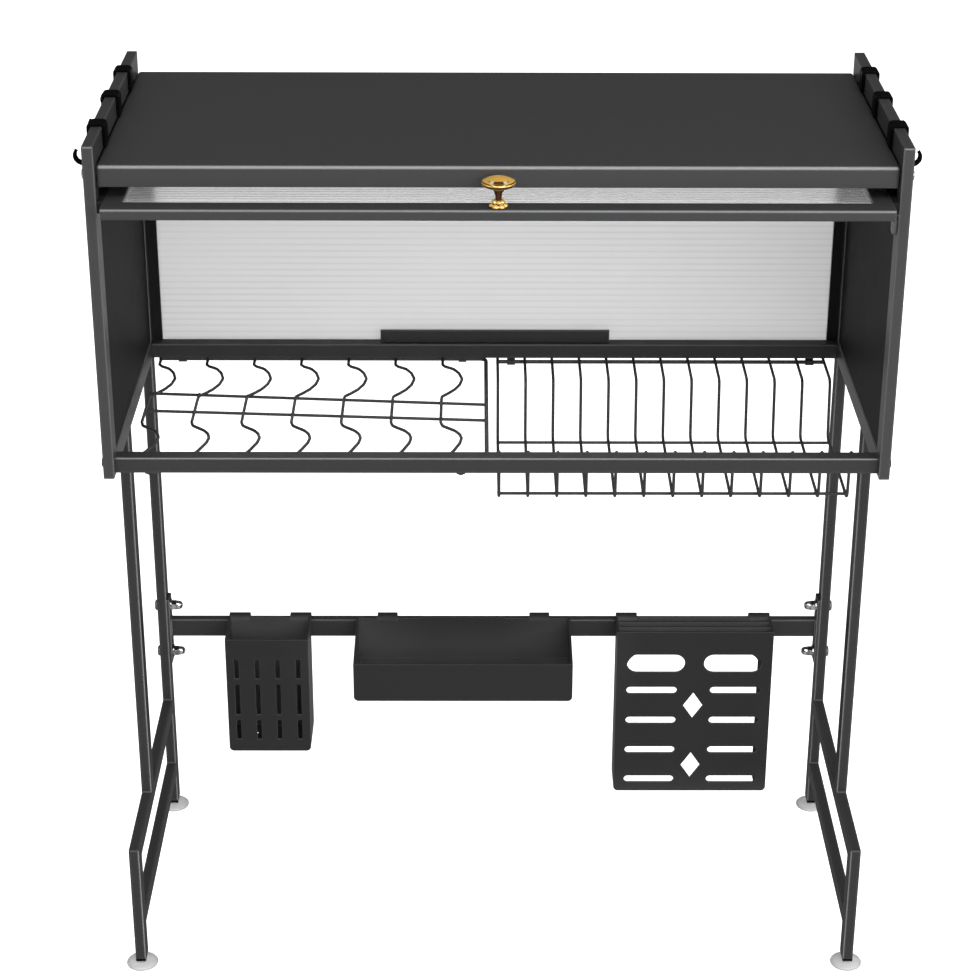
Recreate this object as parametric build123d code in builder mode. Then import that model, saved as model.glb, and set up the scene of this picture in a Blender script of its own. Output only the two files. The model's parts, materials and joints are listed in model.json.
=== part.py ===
from build123d import *
import os
from math import sqrt

# Over sink dish rack: a cabinet of steel tube and sheet that stands on two welded leg frames, one on
# each side of a sink. Millimetres. X runs across the sink, Y from the front to the back and Z up from
# the ground. The origin is on the ground, in the middle of the whole rack.

os.makedirs("parts", exist_ok=True)

# Whole rack
cabinet_width = 710.0
cabinet_depth = 306.0
cabinet_height = 311.2
cabinet_top = 843.0
door_overhang = 18.0

# Steel tube of the side frames and the legs
tube_width = 10.0
tube_depth = 20.0
tube_wall = 1.2
tube_corner = 1.0

# Sheet steel of the cabinet
panel_sheet = 1.0
side_panel_recess = 1.0
fit_gap = 0.3
overrun = 5.0

# Top panel
top_panel_drop = 19.0
top_panel_setback = 7.0
top_panel_rear_setback = 2.0
top_panel_flange = 19.0
top_panel_bend = 3.2

# Bars along the cabinet's foot
bar_size = 15.0
bar_wall = 1.5
bar_rise = 2.2
front_bar_setback = 8.0
rear_bar_setback = 7.0
bar_end_plate = 3.0

# Screws and bolts
bolt_radius = 2.5
bolt_head_radius = 4.8
bolt_head_height = 2.8
bolt_socket_radius = 1.7
bolt_socket_depth = 1.4
bolt_clearance = 0.2
bolt_end = 4.0
thread_clearance = 0.05
nut_height = 4.0
nut_radius = 4.6
small_screw_radius = 1.5
small_head_radius = 3.0
small_head_height = 1.4
small_screw_length = 8.0
top_bolt_setback = 14.3

# Leg frames
front_leg_setback = 97.0
rear_leg_inset = 4.6
foot_reach = 8.5
leg_bottom = 12.0
leg_bar_height = 17.0
upper_bar_top = 138.7
lower_bar_top = 60.0
spigot_depth = 14.0
spigot_pin_radius = 3.0
spigot_pin_height = 5.6

# Feet
cap_lip = 3.0
cap_plug_height = 22.0
cap_plug_gap = 0.1
foot_radius = 15.5
foot_height = 6.0
foot_edge = 2.0
foot_boss_radius = 6.0
foot_boss_height = 2.4
foot_stem_radius = 2.9
foot_stem_length = 16.0
foot_stem_gap = 0.1

# Crossbar between the rear legs
crossbar_height = 20.0
crossbar_thickness = 10.0
crossbar_top = 234.0
flange_plate = 3.0
flange_height = 75.0
flange_width = 19.0
flange_drop = 2.5
flange_bolt_spacing = 55.0
crossbar_bolt_radius = 3.0
crossbar_head_radius = 5.6
crossbar_head_height = 3.2
crossbar_socket_radius = 2.2
crossbar_socket_depth = 1.8
washer_radius = 6.6
washer_thickness = 1.5
dome_nut_radius = 5.7
dome_nut_height = 5.0
dome_radius = 4.7

# Back panel and what holds it
ribbed_thickness = 3.4
rib_height = 0.6
rib_width = 3.8
rib_pitch = 6.6
back_panel_setback = 5.5
back_channel_width = 10.0
back_channel_bite = 8.0
strip_length = 230.0
strip_height = 13.0
strip_sheet = 1.5
strip_foot = 5.2
strip_screw_offset = 88.0

# Door, its channels and its glides
door_rear_gap = 84.0
door_thickness = 10.0
door_drop = 50.0
door_front_rail = 20.0
door_stile = 17.0
door_groove = 6.0
door_edge = 2.0
door_side_gap = 0.55
pivot_setback = 8.0
pivot_pin_radius = 2.5
pivot_pin_length = 14.0
pivot_running_gap = 0.05
channel_depth = 4.7
channel_wall = 1.0
channel_end_setback = 12.0
channel_start_setback = 2.0
glide_length = 16.0
glide_height = 8.0
glide_gap = 0.2

# Knob, rosette and its screw
knob_setback = 8.0
knob_height = 30.0
knob_head_radius = 15.0
knob_head_height = 13.0
knob_rim_height = 2.6
knob_collar_radius = 5.0
knob_collar_height = 3.0
knob_stem_radius = 2.6
rosette_radius = 7.5
rosette_height = 6.5
rosette_flute_count = 16
rosette_flute_radius = 0.9

# Door catch on the right front post
catch_setback = 10.0
catch_drop = 74.0
catch_width = 11.0
catch_height = 16.0
catch_thickness = 4.2
catch_corner = 1.5

# Wire racks
wire_radius = 1.5
rod_radius = 2.0
rod_sink = 0.3
weld_sink = 0.4

plate_wire_count = 13
plate_first_wire = 2.7
plate_end_gap = 13.62
plate_trough_depth = 58.0
plate_bottom_front = 82.0
plate_bottom_rear_inset = 83.0
plate_rear_kink_inset = 74.0
plate_front_kink_drop = 8.2
plate_front_kink_setback = 80.0
plate_bend = 7.0
plate_front_rail_setback = 98.0
plate_rear_overlap = 5.0

bowl_end_gap = 6.7
bowl_right = 9.0
bowl_rear_overlap = 4.0
bowl_front_overlap = 4.0
bowl_corner = 6.0
bowl_wave_count = 7
bowl_wave_inset = 2.0
bowl_last_gap = 43.5
bowl_lobe = 24.5
bowl_lobe_shares = (0.882, 0.794, 0.650, 0.428, 0.337, 0.105)
bowl_lobe_radius = 20.0
bowl_turn_radius = 12.0
bowl_long_wire_shares = ((0.667, 0.578), (0.528, 0.454))

clip_width = 8.0
clip_sheet = 1.2
clip_lug = 8.0

# Pieces that hang on the crossbar
hook_sheet = 2.0
hook_bend_radius = 5.45
hook_tail = 12.0
bin_corner = 5.0
rim_height = 4.8

utensil_end_gap = 65.0
utensil_width = 86.4
utensil_depth = 53.0
utensil_height = 134.0
utensil_hook_width = 22.0
utensil_slot_width = 4.8
utensil_slot_pitch = 21.5
utensil_slot_columns = 4
utensil_slot_top = 23.5
utensil_slot_heights = (22.9, 36.6, 23.5)
utensil_slot_gaps = (6.9, 6.3)
drain_radius = 3.0
drain_pitch = 18.0

tray_left = 145.0
tray_width = 226.0
tray_depth = 91.0
tray_height = 51.0
tray_front_drop = 7.8
tray_hook_width = 21.0
tray_hook_inset = 22.0
tray_crest_height = 1.7
tray_crest_inset = 68.0
tray_crest_width = 88.0

board_end_gap = 51.5
board_width = 164.0
board_height = 194.0
board_depth = 36.0
board_hook_width = 22.0
board_hook_inset = 0.5
board_divider_count = 2
board_ledge = 11.0
board_window_drop = 30.0
board_window_corner = 20.0
handle_slot_share = 0.372
handle_slot_height = 21.0
handle_slot_drop = 26.8
slot_margin = 11.0
thin_slot_share = 0.326
thin_slot_height = 8.2
thin_slot_drop = 69.7
thin_slot_pitch = 36.5
thin_slot_rows = 4
diamond_half_width = 10.5
diamond_half_height = 15.7
diamond_drop = 88.2
diamond_pitch = 73.6

# Hooks on the side frames' top rails
side_hook_width = 15.0
side_hook_sheet = 3.0
side_hook_front_setback = 64.0
side_hook_middle_offset = 2.0
side_hook_rear_inset = 68.5
side_hook_inner_gap = 1.5
side_hook_drop = 27.0
side_hook_curl = 5.6
side_hook_lip = 9.0
side_hook_bend = 1.0

# Places that follow from the sizes above
knob_reach = door_overhang - knob_setback + knob_head_radius
foot_reach_rear = cabinet_depth - rear_leg_inset - tube_depth / 2 + foot_radius
front_y = (knob_reach - foot_reach_rear) / 2
rear_y = front_y + cabinet_depth
cabinet_bottom = cabinet_top - cabinet_height
outer_x = cabinet_width / 2
inner_x = outer_x - tube_width
tube_x = outer_x - tube_width / 2
sides = {"left": -1, "right": 1}

front_bar_y = front_y + front_bar_setback + bar_size / 2
rear_bar_y = rear_y - rear_bar_setback - bar_size / 2
bar_bottom = cabinet_bottom + bar_rise
bar_top = bar_bottom + bar_size
bar_z = bar_bottom + bar_size / 2

top_panel_top = cabinet_top - top_panel_drop
top_bolt_z = top_panel_top - top_panel_flange / 2
top_bolt_ys = (front_y + top_bolt_setback, rear_y - top_bolt_setback)

rear_leg_y = rear_y - rear_leg_inset - tube_depth / 2
front_leg_y = front_y + front_leg_setback + tube_depth / 2
foot_leg_y = front_y - foot_reach + tube_depth / 2

crossbar_z = crossbar_top - crossbar_height / 2
flange_z = crossbar_z - flange_drop
flange_bolt_zs = (flange_z - flange_bolt_spacing / 2, flange_z + flange_bolt_spacing / 2)
flange_face_x = inner_x - flange_plate

door_length = cabinet_depth + door_overhang - door_rear_gap
door_top = cabinet_top - door_drop
pivot_z = door_top - door_thickness / 2
door_front_y = front_y - door_overhang
pivot_y = door_front_y + door_length - pivot_setback
door_half_width = inner_x - channel_depth - door_side_gap
knob_y = door_front_y + knob_setback

back_panel_y = rear_y - back_panel_setback - ribbed_thickness / 2
back_panel_half = inner_x - back_channel_width + back_channel_bite
strip_rear = back_panel_y - ribbed_thickness / 2 - fit_gap
strip_screw_y = strip_rear - strip_foot / 2

rack_rod_z = bar_bottom - rod_sink - rod_radius
plate_wire_z = bar_bottom - rod_sink - wire_radius
plate_rod_y = rear_bar_y - bar_size / 2 + plate_rear_overlap - rod_radius
plate_rod_z = plate_wire_z - wire_radius - rod_radius + weld_sink
plate_wire_pitch = (inner_x - plate_end_gap - plate_first_wire) / (plate_wire_count - 1)
bowl_left = inner_x - bowl_end_gap
bowl_first_wave = bowl_left - bowl_wave_inset
bowl_wave_pitch = (bowl_first_wave - bowl_right - bowl_last_gap) / (bowl_wave_count - 1)
bowl_rear = rear_bar_y - bar_size / 2 + bowl_rear_overlap
bowl_front = front_bar_y + bar_size / 2 - bowl_front_overlap
plate_clip_x = plate_first_wire + plate_wire_pitch / 2
plate_clip_span = (plate_wire_count - 2) * plate_wire_pitch
bowl_clip_xs = (-bowl_left + bowl_wave_pitch / 2, -bowl_right - bowl_wave_pitch / 2)
clip_seats = [(x, plate_rod_y, plate_rod_z, rod_radius, 1)
              for x in (plate_clip_x, plate_clip_x + plate_clip_span)]
clip_seats += [(x, bowl_rear, rack_rod_z, rod_radius, 1) for x in bowl_clip_xs]
clip_seats += [(x, bowl_front, rack_rod_z, rod_radius, -1) for x in bowl_clip_xs]


def clip_screw_reach(radius):
    """How far a clip's screw stands from the rod that the clip holds."""
    return radius + thread_clearance + (clip_lug + clip_sheet) / 2


def hollow_tube(start, along, across, length, depth, width, wall):
    """A rectangular tube with rounded corners, from its start point; across is its depth's way."""
    with BuildPart() as tube:
        with BuildSketch(Plane(origin=start, x_dir=across, z_dir=along)):
            RectangleRounded(depth, width, tube_corner)
            Rectangle(depth - 2 * wall, width - 2 * wall, mode=Mode.SUBTRACT)
        extrude(amount=length)
    return tube.part


def cross_drill(part, x, places, radius):
    """Drill a part right through along X at the given (y, z) places."""
    with BuildPart() as drilled:
        add(part)
        with BuildSketch(Plane.YZ.offset(x - tube_width)):
            with Locations(*places):
                Circle(radius)
        extrude(amount=2 * tube_width, mode=Mode.SUBTRACT)
    return drilled.part


def cap_bolt(radius, length, head_radius, head_height, socket_radius, socket_depth):
    """A button head bolt that points down, with the underside of its head at zero."""
    with BuildPart() as bolt:
        with BuildSketch():
            Circle(radius)
        extrude(amount=-length)
        with BuildSketch():
            Circle(head_radius)
        extrude(amount=head_height)
        fillet(bolt.edges().group_by(Axis.Z)[-1], head_height / 2)
        with BuildSketch(Plane.XY.offset(head_height)):
            RegularPolygon(socket_radius, 6)
        extrude(amount=-socket_depth, mode=Mode.SUBTRACT)
    return bolt.part


def placed(part, places, outward):
    """Copies of one part with its Z axis turned to an outward direction at each place."""
    return [Plane(origin=place, z_dir=outward).location * part for place in places]


# Side frames: four mitred tubes welded into a ring
def ring_tube(x, start, end, inward):
    """One mitred tube of a ring in the YZ plane, between two outer corners."""
    first = Vector(x, *start)
    last = Vector(x, *end)
    into = Vector(0, *inward)
    along = (last - first).normalized()
    length = (last - first).length
    middle = first + into * (tube_depth / 2)
    with BuildPart() as tube:
        add(hollow_tube(middle, along, into, length, tube_depth, tube_width, tube_wall))
        split(bisect_by=Plane(origin=first, z_dir=along - into), keep=Keep.TOP)
        split(bisect_by=Plane(origin=last, z_dir=-along - into), keep=Keep.TOP)
    return tube.part


bolt_hole = bolt_radius + bolt_clearance
for name, side in sides.items():
    x = side * tube_x
    front_post = ring_tube(x, (front_y, cabinet_bottom), (front_y, cabinet_top), (1, 0))
    rear_post = ring_tube(x, (rear_y, cabinet_top), (rear_y, cabinet_bottom), (-1, 0))
    top_rail = ring_tube(x, (front_y, cabinet_top), (rear_y, cabinet_top), (0, -1))
    bottom_rail = ring_tube(x, (rear_y, cabinet_bottom), (front_y, cabinet_bottom), (0, 1))
    front_post = cross_drill(front_post, x, [(top_bolt_ys[0], top_bolt_z)], bolt_hole)
    rear_post = cross_drill(rear_post, x, [(top_bolt_ys[1], top_bolt_z)], bolt_hole)
    bar_places = [(front_bar_y, bar_z), (rear_bar_y, bar_z)]
    with BuildPart() as lower_rail:
        add(cross_drill(bottom_rail, x, bar_places, bolt_hole))
        with BuildSketch(Plane.XY.offset(cabinet_bottom)):
            with Locations((x, front_leg_y), (x, rear_leg_y)):
                Circle(spigot_pin_radius + bolt_clearance)
        extrude(amount=2 * tube_wall, mode=Mode.SUBTRACT)
    side_frame = Compound([*front_post.solids(), *rear_post.solids(), *top_rail.solids(),
                           *lower_rail.part.solids()])
    side_frame.label = f"side_frame_{name}"
    export_step(side_frame, f"parts/side_frame_{name}.step")

    # Side panel: sheet welded inside the ring, a little behind the tubes' inner faces
    panel_x = side * (inner_x + side_panel_recess)
    with BuildPart() as side_panel:
        with BuildSketch(Plane.YZ.offset(panel_x)):
            with Locations(((front_y + rear_y) / 2, (cabinet_bottom + cabinet_top) / 2)):
                Rectangle(cabinet_depth - 2 * tube_depth, cabinet_height - 2 * tube_depth)
        extrude(amount=side * panel_sheet)
    side_panel.part.label = f"side_panel_{name}"
    export_step(side_panel.part, f"parts/side_panel_{name}.step")

# Top panel: one sheet bent down on all four sides
top_panel_half = inner_x - fit_gap
top_panel_front = front_y + top_panel_setback
top_panel_length = cabinet_depth - top_panel_setback - top_panel_rear_setback
top_panel_y = top_panel_front + top_panel_length / 2
with BuildPart() as top_panel:
    with BuildSketch(Plane.XY.offset(top_panel_top - top_panel_flange)):
        with Locations((0, top_panel_y)):
            RectangleRounded(2 * top_panel_half, top_panel_length, top_panel_bend)
    extrude(amount=top_panel_flange)
    fillet(top_panel.faces().sort_by(Axis.Z)[-1].edges(), top_panel_bend)
    offset(amount=-panel_sheet, openings=top_panel.faces().sort_by(Axis.Z)[0])
    with BuildSketch(Plane.YZ.offset(-outer_x)):
        with Locations(*[(y, top_bolt_z) for y in top_bolt_ys]):
            Circle(bolt_hole)
    extrude(amount=cabinet_width, mode=Mode.SUBTRACT)
top_panel.part.label = "top_panel"
export_step(top_panel.part, "parts/top_panel.step")

# Bolts and nuts that hold the top panel between the side frames
top_bolt = cap_bolt(bolt_radius, tube_width + fit_gap + panel_sheet + nut_height + bolt_end / 2,
                    bolt_head_radius, bolt_head_height, bolt_socket_radius, bolt_socket_depth)
with BuildPart() as hex_nut:
    with BuildSketch():
        RegularPolygon(nut_radius, 6)
        Circle(bolt_radius + thread_clearance, mode=Mode.SUBTRACT)
    extrude(amount=nut_height)
top_bolts = []
top_nuts = []
for side in sides.values():
    heads = [(side * outer_x, y, top_bolt_z) for y in top_bolt_ys]
    nut_x = side * (top_panel_half - panel_sheet)
    top_bolts += placed(top_bolt, heads, (side, 0, 0))
    top_nuts += placed(hex_nut.part, [(nut_x, y, top_bolt_z) for y in top_bolt_ys], (-side, 0, 0))
top_side_bolts = Compound([solid for bolt in top_bolts for solid in bolt.solids()])
top_side_bolts.label = "top_side_bolts"
export_step(top_side_bolts, "parts/top_side_bolts.step")
top_side_nuts = Compound([solid for nut in top_nuts for solid in nut.solids()])
top_side_nuts.label = "top_side_nuts"
export_step(top_side_nuts, "parts/top_side_nuts.step")

# Bars along the foot of the cabinet, with threaded end plates
bar_inside = bar_size - 2 * bar_wall
for name, bar_y in {"front": front_bar_y, "rear": rear_bar_y}.items():
    with BuildPart() as bottom_bar:
        with BuildSketch(Plane(origin=(-inner_x, bar_y, bar_z), x_dir=(0, 1, 0), z_dir=(1, 0, 0))):
            RectangleRounded(bar_size, bar_size, tube_corner)
        extrude(amount=2 * inner_x)
        with BuildSketch(Plane(origin=(-inner_x + bar_end_plate, bar_y, bar_z), x_dir=(0, 1, 0),
                               z_dir=(1, 0, 0))):
            Rectangle(bar_inside, bar_inside)
        extrude(amount=2 * (inner_x - bar_end_plate), mode=Mode.SUBTRACT)
        with BuildSketch(Plane.YZ.offset(-inner_x)):
            with Locations((bar_y, bar_z)):
                Circle(bolt_radius + thread_clearance)
        extrude(amount=2 * inner_x, mode=Mode.SUBTRACT)
        if name == "rear":
            with BuildSketch(Plane.XY.offset(bar_top)):
                with Locations((-strip_screw_offset, strip_screw_y), (strip_screw_offset, strip_screw_y)):
                    Circle(small_screw_radius + thread_clearance)
            extrude(amount=-bar_wall, mode=Mode.SUBTRACT)
        with BuildSketch(Plane.XY.offset(bar_bottom)):
            with Locations(*[(x, y + toward * clip_screw_reach(radius))
                             for x, y, z, radius, toward in clip_seats
                             if (toward > 0) == (name == "rear")]):
                Circle(small_screw_radius + thread_clearance)
        extrude(amount=bar_wall, mode=Mode.SUBTRACT)
    bottom_bar.part.label = f"bottom_{name}_bar"
    export_step(bottom_bar.part, f"parts/bottom_{name}_bar.step")

bar_bolt = cap_bolt(bolt_radius, tube_width + bar_end_plate + bolt_end, bolt_head_radius,
                    bolt_head_height, bolt_socket_radius, bolt_socket_depth)
bar_bolt_solids = []
for side in sides.values():
    heads = [(side * outer_x, y, bar_z) for y in (front_bar_y, rear_bar_y)]
    bar_bolt_solids += [bolt.solid() for bolt in placed(bar_bolt, heads, (side, 0, 0))]
bar_bolts = Compound(bar_bolt_solids)
bar_bolts.label = "bar_bolts"
export_step(bar_bolts, "parts/bar_bolts.step")

# Leg frames: rear leg, front leg that steps forward to a foot leg, and two bars between them
foot_corner = Vector(0, foot_leg_y - tube_depth / 2, upper_bar_top)
foot_mitre = Plane(origin=foot_corner, x_dir=(1, 0, 0), z_dir=(0, leg_bar_height, tube_depth))
rear_leg_face = rear_leg_y - tube_depth / 2
foot_leg_face = foot_leg_y + tube_depth / 2
up = (0, 0, 1)
back = (0, 1, 0)
for name, side in sides.items():
    x = side * tube_x
    rear_leg = hollow_tube((x, rear_leg_y, leg_bottom), up, back, cabinet_bottom - leg_bottom,
                           tube_depth, tube_width, tube_wall)
    rear_leg = cross_drill(rear_leg, x, [(rear_leg_y, z) for z in flange_bolt_zs],
                           crossbar_bolt_radius + bolt_clearance)
    front_leg = hollow_tube((x, front_leg_y, upper_bar_top), up, back,
                            cabinet_bottom - upper_bar_top, tube_depth, tube_width, tube_wall)
    with BuildPart() as foot_leg:
        add(hollow_tube((x, foot_leg_y, leg_bottom), up, back, upper_bar_top - leg_bottom,
                        tube_depth, tube_width, tube_wall))
        split(bisect_by=foot_mitre, keep=Keep.BOTTOM)
    upper_z = upper_bar_top - leg_bar_height / 2
    with BuildPart() as upper_bar:
        add(hollow_tube((x, foot_corner.Y, upper_z), back, up, rear_leg_face - foot_corner.Y,
                        leg_bar_height, tube_width, tube_wall))
        split(bisect_by=foot_mitre, keep=Keep.TOP)
    lower_z = lower_bar_top - leg_bar_height / 2
    lower_bar = hollow_tube((x, foot_leg_face, lower_z), back, up, rear_leg_face - foot_leg_face,
                            leg_bar_height, tube_width, tube_wall)
    leg_frame = Compound([rear_leg.solid(), front_leg.solid(), foot_leg.part.solid(),
                          upper_bar.part.solid(), lower_bar.solid()])
    leg_frame.label = f"leg_frame_{name}"
    export_step(leg_frame, f"parts/leg_frame_{name}.step")

# Spigots: plugs in the leg tops whose pins stand in the side frames
plug_depth = tube_depth - 2 * tube_wall - 2 * cap_plug_gap
plug_width = tube_width - 2 * tube_wall - 2 * cap_plug_gap
leg_tops = [(side * tube_x, y) for side in sides.values() for y in (front_leg_y, rear_leg_y)]
with BuildPart() as leg_spigots:
    with BuildSketch(Plane.XY.offset(cabinet_bottom - spigot_depth)):
        with Locations(*leg_tops):
            Rectangle(plug_width, plug_depth)
    extrude(amount=spigot_depth)
    with BuildSketch(Plane.XY.offset(cabinet_bottom)):
        with Locations(*leg_tops):
            Circle(spigot_pin_radius)
    extrude(amount=spigot_pin_height)
leg_spigots.part.label = "leg_spigots"
export_step(leg_spigots.part, "parts/leg_spigots.step")

# End caps in the legs, bored for the feet's stems
foot_places = {f"{end}_{name}": (side * tube_x, y) for name, side in sides.items()
               for end, y in (("front", foot_leg_y), ("rear", rear_leg_y))}
cap_bottom = leg_bottom - cap_lip
with BuildPart() as leg_caps:
    with BuildSketch(Plane.XY.offset(cap_bottom)):
        with Locations(*foot_places.values()):
            RectangleRounded(tube_width, tube_depth, tube_corner)
    extrude(amount=cap_lip)
    with BuildSketch(Plane.XY.offset(leg_bottom)):
        with Locations(*foot_places.values()):
            Rectangle(plug_width, plug_depth)
    extrude(amount=cap_plug_height)
    with BuildSketch(Plane.XY.offset(cap_bottom)):
        with Locations(*foot_places.values()):
            Circle(foot_stem_radius + foot_stem_gap)
    extrude(amount=cap_lip + cap_plug_height, mode=Mode.SUBTRACT)
leg_caps.part.label = "leg_caps"
export_step(leg_caps.part, "parts/leg_caps.step")

# Feet: a round pad, a boss and a stem that turns in the end cap
foot_boss_top = foot_height + foot_boss_height
for name, place in foot_places.items():
    with BuildPart() as foot:
        with BuildSketch():
            with Locations(place):
                Circle(foot_radius)
        extrude(amount=foot_height)
        fillet(foot.edges().group_by(Axis.Z)[-1], foot_edge)
        with BuildSketch(Plane.XY.offset(foot_height)):
            with Locations(place):
                Circle(foot_boss_radius)
        extrude(amount=foot_boss_height)
        with BuildSketch(Plane.XY.offset(foot_boss_top)):
            with Locations(place):
                Circle(foot_stem_radius)
        extrude(amount=foot_stem_length)
    foot.part.label = f"foot_{name}"
    export_step(foot.part, f"parts/foot_{name}.step")

# Crossbar between the rear legs, with a welded flange plate at each end
with BuildPart() as crossbar:
    add(hollow_tube((-flange_face_x, rear_leg_y, crossbar_z), (1, 0, 0), up, 2 * flange_face_x,
                    crossbar_height, crossbar_thickness, tube_wall))
    for side in sides.values():
        with BuildSketch(Plane.YZ.offset(side * flange_face_x)):
            with Locations((rear_leg_y, flange_z)):
                RectangleRounded(flange_width, flange_height, tube_corner)
            with Locations(*[(rear_leg_y, z) for z in flange_bolt_zs]):
                Circle(crossbar_bolt_radius + bolt_clearance, mode=Mode.SUBTRACT)
            with Locations((rear_leg_y, crossbar_z)):
                Circle(crossbar_bolt_radius, mode=Mode.SUBTRACT)
        extrude(amount=side * flange_plate)
crossbar.part.label = "crossbar"
export_step(crossbar.part, "parts/crossbar.step")

# Bolts, washers and dome nuts of the crossbar
stack = tube_width + flange_plate + washer_thickness + dome_nut_height
crossbar_bolt = cap_bolt(crossbar_bolt_radius, stack, crossbar_head_radius, crossbar_head_height,
                         crossbar_socket_radius, crossbar_socket_depth)
with BuildPart() as washer:
    with BuildSketch():
        Circle(washer_radius)
        Circle(crossbar_bolt_radius + thread_clearance, mode=Mode.SUBTRACT)
    extrude(amount=washer_thickness)
with BuildPart() as dome_nut:
    with BuildSketch():
        RegularPolygon(dome_nut_radius, 6)
    extrude(amount=dome_nut_height)
    with Locations((0, 0, dome_nut_height)):
        Sphere(dome_radius, arc_size1=0)
    with BuildSketch():
        Circle(crossbar_bolt_radius + thread_clearance)
    extrude(amount=dome_nut_height, mode=Mode.SUBTRACT)
bolt_solids = []
washer_solids = []
nut_solids = []
for side in sides.values():
    heads = [(side * outer_x, rear_leg_y, z) for z in flange_bolt_zs]
    washers = [(side * flange_face_x, rear_leg_y, z) for z in flange_bolt_zs]
    nuts = [(side * (flange_face_x - washer_thickness), rear_leg_y, z) for z in flange_bolt_zs]
    bolt_solids += [bolt.solid() for bolt in placed(crossbar_bolt, heads, (side, 0, 0))]
    washer_solids += [ring.solid() for ring in placed(washer.part, washers, (-side, 0, 0))]
    nut_solids += [nut.solid() for nut in placed(dome_nut.part, nuts, (-side, 0, 0))]
for name, solids in {"crossbar_bolts": bolt_solids, "crossbar_washers": washer_solids,
                     "crossbar_nuts": nut_solids}.items():
    group = Compound(solids)
    group.label = name
    export_step(group, f"parts/{name}.step")


# Ribbed plastic sheet: a profile with shallow ribs, as long as the sheet is wide
def ribbed_profile(span):
    """Section of the ribbed sheet, its ribs on the upper side, centred on its own middle."""
    count = int((span - rib_width) // rib_pitch)
    with BuildSketch(mode=Mode.PRIVATE) as section:
        with Locations((0, -rib_height / 2)):
            Rectangle(span, ribbed_thickness - rib_height)
        with Locations((0, ribbed_thickness / 2 - rib_height)):
            with GridLocations(rib_pitch, rib_pitch, count, 1):
                Rectangle(rib_width, rib_height, align=(Align.CENTER, Align.MIN))
    return section.sketch


# Back panel: stands on the rear bar, its ends in a channel on each rear post
back_panel_bottom = bar_top
back_panel_height = top_panel_top - panel_sheet - fit_gap - back_panel_bottom
back_panel_z = back_panel_bottom + back_panel_height / 2
with BuildPart() as back_panel:
    with BuildSketch(Plane(origin=(-back_panel_half, back_panel_y, back_panel_z), x_dir=(0, 0, -1),
                           z_dir=(1, 0, 0))):
        add(ribbed_profile(back_panel_height))
    extrude(amount=2 * back_panel_half)
back_panel.part.label = "back_panel"
export_step(back_panel.part, "parts/back_panel.step")

slot_width = ribbed_thickness + 2 * fit_gap
back_channel_top = top_panel_top - top_panel_flange - fit_gap
for name, side in sides.items():
    channel_x = side * (inner_x - back_channel_width / 2)
    with BuildPart() as back_channel:
        with BuildSketch(Plane.XY.offset(bar_top)):
            with Locations((channel_x, back_panel_y)):
                Rectangle(back_channel_width, slot_width + 2 * panel_sheet)
            with Locations((channel_x - side * panel_sheet, back_panel_y)):
                Rectangle(back_channel_width, slot_width, mode=Mode.SUBTRACT)
        extrude(amount=back_channel_top - bar_top)
    back_channel.part.label = f"back_channel_{name}"
    export_step(back_channel.part, f"parts/back_channel_{name}.step")

# Retaining strip: an angle screwed to the rear bar in front of the back panel
strip_front = strip_rear - strip_foot - strip_sheet
with BuildPart() as retaining_strip:
    with BuildSketch(Plane.YZ.offset(-strip_length / 2)):
        with BuildLine():
            Polyline((strip_front, bar_top), (strip_rear, bar_top), (strip_rear, bar_top + strip_sheet),
                     (strip_front + strip_sheet, bar_top + strip_sheet),
                     (strip_front + strip_sheet, bar_top + strip_height),
                     (strip_front, bar_top + strip_height), close=True)
        make_face()
    extrude(amount=strip_length)
    with BuildSketch(Plane.XY.offset(bar_top)):
        with Locations((-strip_screw_offset, strip_screw_y), (strip_screw_offset, strip_screw_y)):
            Circle(small_screw_radius + thread_clearance)
    extrude(amount=strip_sheet, mode=Mode.SUBTRACT)
retaining_strip.part.label = "retaining_strip"
export_step(retaining_strip.part, "parts/retaining_strip.step")

strip_head_radius = strip_foot / 2 - fit_gap
strip_screw = cap_bolt(small_screw_radius, small_screw_length, strip_head_radius, small_head_height,
                       small_screw_radius / 2, small_head_height / 2)
strip_screw_places = [(x, strip_screw_y, bar_top + strip_sheet)
                      for x in (-strip_screw_offset, strip_screw_offset)]
strip_screws = Compound([screw.solid() for screw in placed(strip_screw, strip_screw_places, up)])
strip_screws.label = "strip_screws"
export_step(strip_screws, "parts/strip_screws.step")

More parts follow.
